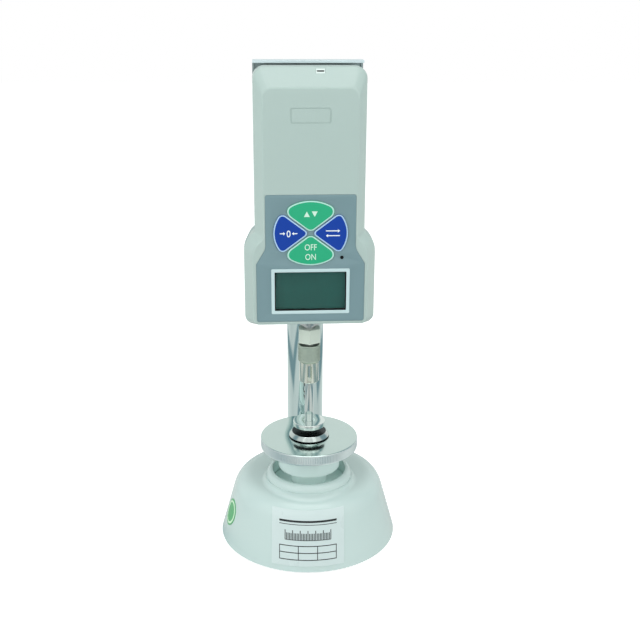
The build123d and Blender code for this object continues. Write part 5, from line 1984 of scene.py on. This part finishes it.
@dataclass
class Legends:
    """Plain signs printed on the keys."""

    keys_z: float = KEYS_Z
    print_y: float = -26.99
    print_half: float = 0.03
    print_swell: float = 0.03
    cap_share: float = 0.73
    word_high: float = 4.0
    word_narrow: float = 0.80
    figure_high: float = 4.4
    figure_narrow: float = 0.9
    side_x: float = 13.5

    def words(
        self, name: str, text: str, x: float, z: float, high: float, narrow: float
    ) -> bpy.types.Object:
        """Printed letters or figures, as a thin mesh on the key's face.

        Args:
            name: Name of the object.
            text: What is printed.
            x: Middle of the print across.
            z: Middle of the print upwards.
            high: Height of the capitals in millimetres.
            narrow: Width as a share of the font's own.

        Returns:
            The new object.
        """
        curve = bpy.data.curves.new(name, "FONT")
        curve.body = text
        curve.align_x = "CENTER"
        curve.size = high / self.cap_share * MM
        curve.extrude = self.print_half * MM
        curve.offset = self.print_swell * MM
        curve.resolution_u = 3
        holder = add_object(name, curve)
        bpy.context.view_layer.update()
        graph = bpy.context.evaluated_depsgraph_get()
        mesh = bpy.data.meshes.new_from_object(holder.evaluated_get(graph))
        bpy.data.objects.remove(holder)
        squeeze = Matrix.Diagonal((narrow, 1.0, 1.0, 1.0))
        upright = Matrix.Rotation(np.pi / 2.0, 4, "X")
        move = Matrix.Translation((x * MM, self.print_y * MM, (z - high / 2.0) * MM))
        mesh.transform(move @ upright @ squeeze)
        return finish_mesh(name, mesh, 30.0)

    def arrow(self, name: str, x: float, z: float, long: float, turn: float) -> bpy.types.Object:
        """Printed arrow.

        Args:
            name: Name of the object.
            x: Middle of the arrow across.
            z: Middle of the arrow upwards.
            long: Length in millimetres.
            turn: Direction that its tip points in, in degrees.

        Returns:
            The new object.
        """
        half, shaft, head, barb = long / 2.0, 0.3, 1.3, 1.0
        points = np.array(
            [
                (-half, -shaft),
                (half - head, -shaft),
                (half - head, -barb),
                (half, 0.0),
                (half - head, barb),
                (half - head, shaft),
                (-half, shaft),
            ]
        )
        aim = np.radians(turn)
        spin = np.array([[np.cos(aim), np.sin(aim)], [-np.sin(aim), np.cos(aim)]])
        outline = points @ spin + np.array([x, z])
        return plate(name, [outline], self.print_y - self.print_half, 2.0 * self.print_half)

    def wedge(self, name: str, x: float, z: float, high: float, wide: float = 3.6) -> bpy.types.Object:
        """Printed triangle that points up, or down where its height is negative.

        Args:
            name: Name of the object.
            x: Middle of the triangle across.
            z: Middle of the triangle upwards.
            high: Height in millimetres.
            wide: Width in millimetres.

        Returns:
            The new object.
        """
        points = np.array([(-wide / 2, -high / 2), (wide / 2, -high / 2), (0.0, high / 2)])
        outline = points + np.array([x, z])
        return plate(name, [outline], self.print_y - self.print_half, 2.0 * self.print_half)

    def signs(self) -> dict[str, list[bpy.types.Object]]:
        """Signs by key: off and on, a nought between arrows, two arrows, and two triangles.

        Returns:
            Printed objects by the name of the key's solid.
        """
        z = self.keys_z
        word, narrow = self.word_high, self.word_narrow
        figure, wide = self.figure_high, self.figure_narrow
        x, gap = self.side_x, 3.7
        return {
            "key_power": [
                self.words("power_off_word", "OFF", 0.0, z - 8.6, word, narrow),
                self.words("power_on_word", "ON", 0.0, z - 14.7, word, narrow),
            ],
            "key_zero": [
                self.words("zero_figure", "0", -x, z, figure, wide),
                self.arrow("zero_left_arrow", -x - gap, z, 3.4, 0.0),
                self.arrow("zero_right_arrow", -x + gap, z, 3.4, 180.0),
            ],
            "key_unit": [
                self.arrow("unit_upper_arrow", x + 0.1, z + 1.5, 8.6, 0.0),
                self.arrow("unit_lower_arrow", x + 0.1, z - 1.5, 8.6, 180.0),
            ],
            "key_set": [
                self.wedge("set_up_mark", -2.4, z + 12.0, 3.4),
                self.wedge("set_down_mark", 2.4, z + 12.0, -3.4),
            ],
        }

    def build(self) -> None:
        """Print the signs, one piece a key."""
        petals = {petal.node: petal for petal in PETALS}
        for node, prints in self.signs().items():
            whole = join_up(f"{node}_print", prints)
            place(whole, petals[node].legend, petals[node].body, "pale_trim")


@dataclass
class FrontPanel:
    """Printed sheet, petal keys, display and light on the front of the gauge."""

    legends: Legends
    keys_z: float = KEYS_Z
    half_w: float = 22.9
    half_h: float = 20.3
    key_angle: float = 37.0
    split: float = 0.7
    core_x: float = 13.0
    core_z: float = 11.0
    tip_round: float = 3.0
    wide_round: float = 6.0
    tall_round: float = 3.3
    front_y: float = -26.9
    back_y: float = -25.7
    sheet_y: float = -26.5
    shade_ring_y: float = -25.0
    stem_x: float = 13.0
    stem_z: float = 11.5
    stem_r: float = 1.9
    stem_end_y: float = -23.4
    light_x: float = 19.3
    light_z: float = 204.1
    light_r: float = 1.15
    frame_grow: float = 4.2
    edge_rows: Profile = ((0.0, 0.3), (0.09, 0.09), (0.3, 0.0))
    crown_rows: Profile = ((1.3, -0.04), (3.5, -0.07), (6.0, -0.08))
    border_rows: Profile = ((0.10, 0.06), (0.12, -0.01), (0.3, -0.05), (0.86, -0.07), (0.9, 0.0))

    def petal(self, turn: float, shrink: float, rays: int = 96) -> np.ndarray:
        """Outline of one petal, drawn inside by shrink.

        Three distances are met with rounded corners: to the two straight arms and to the ellipse. On
        each ray from a point inside, halving finds where the result is zero.

        Args:
            turn: Direction of the petal in degrees.
            shrink: Inset in millimetres, negative to grow.
            rays: Number of points.

        Returns:
            Rows of x and z in millimetres.
        """
        flat = turn % 180.0 == 0.0
        half = np.radians(self.key_angle if flat else 90.0 - self.key_angle)
        aim = np.radians(turn)
        reach = self.core_x if flat else self.core_z
        side_round = self.tall_round if flat else self.wide_round
        tip_round = max(self.tip_round - shrink, 0.1)
        side_round = max(side_round - shrink, 0.1)
        inset = self.split / 2 + shrink
        rayed = circle(1.0, rays)
        near, far = np.zeros(rays), np.full(rays, 30.0)
        halvings = 36
        for _ in range(halvings):
            middle = (near + far) / 2.0
            along = reach + middle * rayed[:, 0]
            across = middle * rayed[:, 1]
            low_arm = -along * np.sin(half) - across * np.cos(half) + inset
            high_arm = -along * np.sin(half) + across * np.cos(half) + inset
            x = along * np.cos(aim) - across * np.sin(aim)
            z = along * np.sin(aim) + across * np.cos(aim)
            share = np.hypot(x / self.half_w, z / self.half_h)
            rate = np.hypot(x / self.half_w**2, z / self.half_h**2)
            edge = (share - 1.0) * share / rate + shrink
            value = round_meet(round_meet(low_arm, high_arm, tip_round), edge, side_round)
            outside = value > 0.0
            far = np.where(outside, middle, far)
            near = np.where(outside, near, middle)
        along = reach + near * rayed[:, 0]
        across = near * rayed[:, 1]
        x = along * np.cos(aim) - across * np.sin(aim)
        z = along * np.sin(aim) + across * np.cos(aim)
        return np.stack([x, z + self.keys_z], 1)

    def petal_rings(self, turn: float, rows: Profile) -> np.ndarray:
        """Stack of petal outlines.

        Args:
            turn: Direction of the petal in degrees.
            rows: Inset and depth of each outline.

        Returns:
            Array of rows by points by three.
        """
        rings = []
        for shrink, y in rows:
            line = self.petal(turn, shrink)
            rings.append(np.stack([line[:, 0], np.full(len(line), y), line[:, 1]], 1))
        return np.stack(rings)

    def stem(self, petal: Petal) -> bpy.types.Object:
        """Round stem behind a key that reaches its switch.

        Args:
            petal: The key.

        Returns:
            The new object.
        """
        turn = np.radians(petal.turn)
        start = self.back_y - 0.2
        edge = 0.2
        rows = [
            (0.0, start),
            (self.stem_r, start),
            (self.stem_r, self.stem_end_y - edge),
            (self.stem_r - edge, self.stem_end_y),
            (0.0, self.stem_end_y),
        ]
        x, z = self.stem_x * np.cos(turn), self.keys_z + self.stem_z * np.sin(turn)
        return pin(f"{petal.node}_stem", x, z, rows)

    def key(self, petal: Petal) -> None:
        """Build one key: cap with rounded edge and low crown, stem and pale border.

        Args:
            petal: The key.
        """
        rows = [(0.0, self.back_y)]
        rows += [(inset, self.front_y + y) for inset, y in (*self.edge_rows, *self.crown_rows)]
        grid = self.petal_rings(petal.turn, rows)
        centre = np.tile(grid[-1].mean(0), (grid.shape[1], 1))
        back = centre.copy()
        back[:, 1] = self.back_y
        cap = skin(f"{petal.node}_cap", np.concatenate([back[None], grid, centre[None]]))
        whole = join_up(f"{petal.node}_button", [cap, self.stem(petal)])
        place(whole, petal.finish, petal.body, petal.slot, petal.node)
        rows = [(inset, self.front_y + y) for inset, y in self.border_rows]
        band = skin(f"{petal.node}_border", self.petal_rings(petal.turn, rows), True)
        place(band, petal.border, petal.body, "pale_trim")

    def sheet(self) -> None:
        """Build the printed sheet with its openings for the keys, display and light."""
        openings = [self.petal(turn, -0.15) for turn in (0.0, 90.0, 180.0, 270.0)]
        openings.append(DISPLAY.outline(0.0, 0.4))
        openings.append(circle(self.light_r) + np.array([self.light_x, self.light_z]))
        film = plate("panel_sheet", [PANEL.grown(0.0), *openings], self.sheet_y, 0.5, 0.06, 1)
        place(film, PANEL_FILM, Body.BASE, "panel_film", "control_overlay")

    def display(self) -> None:
        """Build the frame and a painted shade ring, and dress the display and the light."""
        rims = [DISPLAY.outline(self.frame_grow, 0.8), DISPLAY.outline(0.0, 0.35)]
        bezel = plate("display_surround", rims, self.front_y, 0.9, 0.32, 4)
        place(bezel, TRIM_PALE, Body.BASE, "pale_trim", "display_frame")
        outer = rectangle(0.0, DISPLAY.z, 46.0, 26.4, 0.4)
        # Painted shade: a dark ring in the display well stands in for the shadow along its inner edges
        shade_ring = plate("display_shade_ring", [outer, DISPLAY.outline(-1.2, 0.3)], self.shade_ring_y, 0.9)
        place(shade_ring, DARK_LENS_AND_SHADE, Body.BASE, "switch_black")
        dress_nodes(Clear(), "display_window")
        dress_nodes(LCD_FACE, "lcd_module")
        dress_nodes(DARK_LENS_AND_SHADE, "indicator_led")

    def build(self) -> None:
        """Build the panel, its display, its keys and their signs."""
        self.sheet()
        self.display()
        for petal in PETALS:
            self.key(petal)
        self.legends.build()


# Studio


@dataclass(frozen=True)
class Lamp:
    """Soft rectangular lamp, in metres and watts, which may show in reflections."""

    name: str
    spot: Colour
    wide: float
    tall: float
    power: float
    mirrored: bool

    def build(self, target: Colour) -> None:
        """Add the lamp, facing a point.

        Args:
            target: The point in metres.
        """
        light = bpy.data.lights.new(self.name, "AREA")
        light.shape = "RECTANGLE"
        light.size = self.wide
        light.size_y = self.tall
        light.energy = self.power
        holder = add_object(self.name, light)
        holder.visible_glossy = self.mirrored
        turn = (Vector(target) - Vector(self.spot)).to_track_quat("-Z", "Y")
        holder.matrix_world = Matrix.Translation(self.spot) @ turn.to_matrix().to_4x4()


@dataclass
class Studio:
    """Camera, lamps, world and floor. Places are in metres."""

    eye: tuple[float, float, float] = (-0.0333, -0.6193, 0.3700)
    look_at: tuple[float, float, float] = (0.00775, 0.0, 0.15425)
    lens: float = 56.25
    sensor: float = 36.0
    roll: float = 0.33
    lit_point: tuple[float, float, float] = (0.0, 0.0, 0.16)
    sky: Colour = (0.93, 1.0, 0.985)
    sky_strength: float = 0.48
    horizon_start: float = 0.39
    never: float = 9.0
    floor_half: float = 3.0
    floor_colour: Colour = (0.57, 0.59, 0.58)
    floor_glow: float = 0.80
    lamps: tuple[Lamp, ...] = (
        Lamp("overhead_lamp", (0.0, -0.30, 1.25), 1.0, 0.9, 4.0, True),
        Lamp("left_lamp", (-1.25, -0.60, 0.42), 1.8, 1.5, 16.2, False),
        Lamp("right_lamp", (1.25, -0.60, 0.42), 1.8, 1.5, 13.4, False),
        Lamp("front_lamp", (0.0, -1.50, 0.85), 2.4, 1.8, 4.0, True),
    )

    def camera(self) -> None:
        """Put the camera where the photograph was taken from."""
        lens = bpy.data.cameras.new("studio_camera")
        lens.lens = self.lens
        lens.sensor_width = self.sensor
        lens.clip_start = 0.01
        camera = add_object("studio_camera", lens)
        ahead = (Vector(self.look_at) - Vector(self.eye)).normalized()
        right = ahead.cross(Vector((0.0, 0.0, 1.0))).normalized()
        up = right.cross(ahead)
        tilt = np.radians(self.roll)
        side = right * np.cos(tilt) + up * np.sin(tilt)
        top = up * np.cos(tilt) - right * np.sin(tilt)
        turn = Matrix((side, top, -ahead)).transposed().to_4x4()
        camera.matrix_world = Matrix.Translation(self.eye) @ turn
        bpy.context.scene.camera = camera

    def tones(self, tool: Recipe, place_name: str) -> bpy.types.Node:
        """Room group on one of the places of the Texture Coordinate node.

        Args:
            tool: Recipe of the world or of a material.
            place_name: Name of the place.

        Returns:
            The group's node.
        """
        node = tool.add("ShaderNodeGroup", node_tree=ROOM)
        place_of = tool.add("ShaderNodeTexCoord").outputs[place_name]
        tool.join(place_of, node.inputs["Place"])
        return node

    def surroundings(self) -> None:
        """White behind the object, and a plain grey and white room in its reflections."""
        world = bpy.data.worlds.new("studio_world")
        bpy.context.scene.world = world
        world.use_nodes = True
        tool = Recipe(world.node_tree)
        lit = world.node_tree.nodes["Background"]
        lit.inputs["Color"].default_value = opaque(self.sky)
        lit.inputs["Strength"].default_value = self.sky_strength
        room = tool.add("ShaderNodeBackground")
        tones = self.tones(tool, "Generated")
        tones.inputs["Start"].default_value = self.horizon_start
        tones.inputs["Split"].default_value = self.never
        tones.inputs["Front"].default_value = -self.never
        tool.join(tones.outputs["Colour"], room.inputs["Color"])
        white = tool.add("ShaderNodeBackground")
        white.inputs["Color"].default_value = (1.0, 1.0, 1.0, 1.0)
        rays = tool.add("ShaderNodeLightPath").outputs
        clear = tool.maths("MAXIMUM", rays["Is Camera Ray"], rays["Is Transmission Ray"])
        seen = tool.choose(rays["Is Glossy Ray"], lit.outputs[0], room.outputs[0])
        seen = tool.choose(clear, seen, white.outputs[0])
        tool.join(seen, world.node_tree.nodes["World Output"].inputs["Surface"])

    def floor(self) -> None:
        """Lay a pale floor that keeps a soft shadow."""
        side = self.floor_half
        corners = [(-side, -side, 0.0), (side, -side, 0.0), (side, side, 0.0), (-side, side, 0.0)]
        mesh = bpy.data.meshes.new("studio_floor")
        mesh.from_pydata(corners, [], [(0, 1, 2, 3)])
        floor = add_object("studio_floor", mesh)
        material = bpy.data.materials.new("floor_paper")
        material.use_nodes = True
        tool = Recipe(material.node_tree)
        nodes = material.node_tree.nodes
        paper = nodes["Principled BSDF"]
        paper.inputs["Base Color"].default_value = opaque(self.floor_colour)
        paper.inputs["Roughness"].default_value = 0.9
        paper.inputs["Specular IOR Level"].default_value = 0.0
        rays = tool.add("ShaderNodeLightPath").outputs
        glow = tool.add("ShaderNodeEmission")
        strength = tool.maths("MULTIPLY", rays["Is Camera Ray"], self.floor_glow)
        tool.join(strength, glow.inputs["Strength"])
        both = tool.add("ShaderNodeAddShader")
        tool.join(paper.outputs[0], both.inputs[0])
        tool.join(glow.outputs[0], both.inputs[1])
        mirrored = tool.add("ShaderNodeEmission")
        tool.join(self.tones(tool, "Object").outputs["Colour"], mirrored.inputs["Color"])
        seen = tool.choose(rays["Is Glossy Ray"], both.outputs[0], mirrored.outputs[0])
        tool.join(seen, nodes["Material Output"].inputs["Surface"])
        mesh.materials.append(material)

    def build(self) -> None:
        """Set up the whole studio."""
        bpy.context.scene.view_settings.view_transform = "Standard"
        self.camera()
        self.surroundings()
        self.floor()
        for lamp in self.lamps:
            lamp.build(self.lit_point)


def main() -> None:
    """Build every sub-assembly in order."""
    logging.basicConfig(level=logging.INFO)
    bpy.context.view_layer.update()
    Studio().build()
    BaseCasting().build()
    Stage(HandWheel(), Anvil()).build()
    PressTrain().build()
    PillarAndTray().build()
    GaugeCase().build()
    FrontPanel(Legends()).build()


if __name__ == "__main__":
    main()
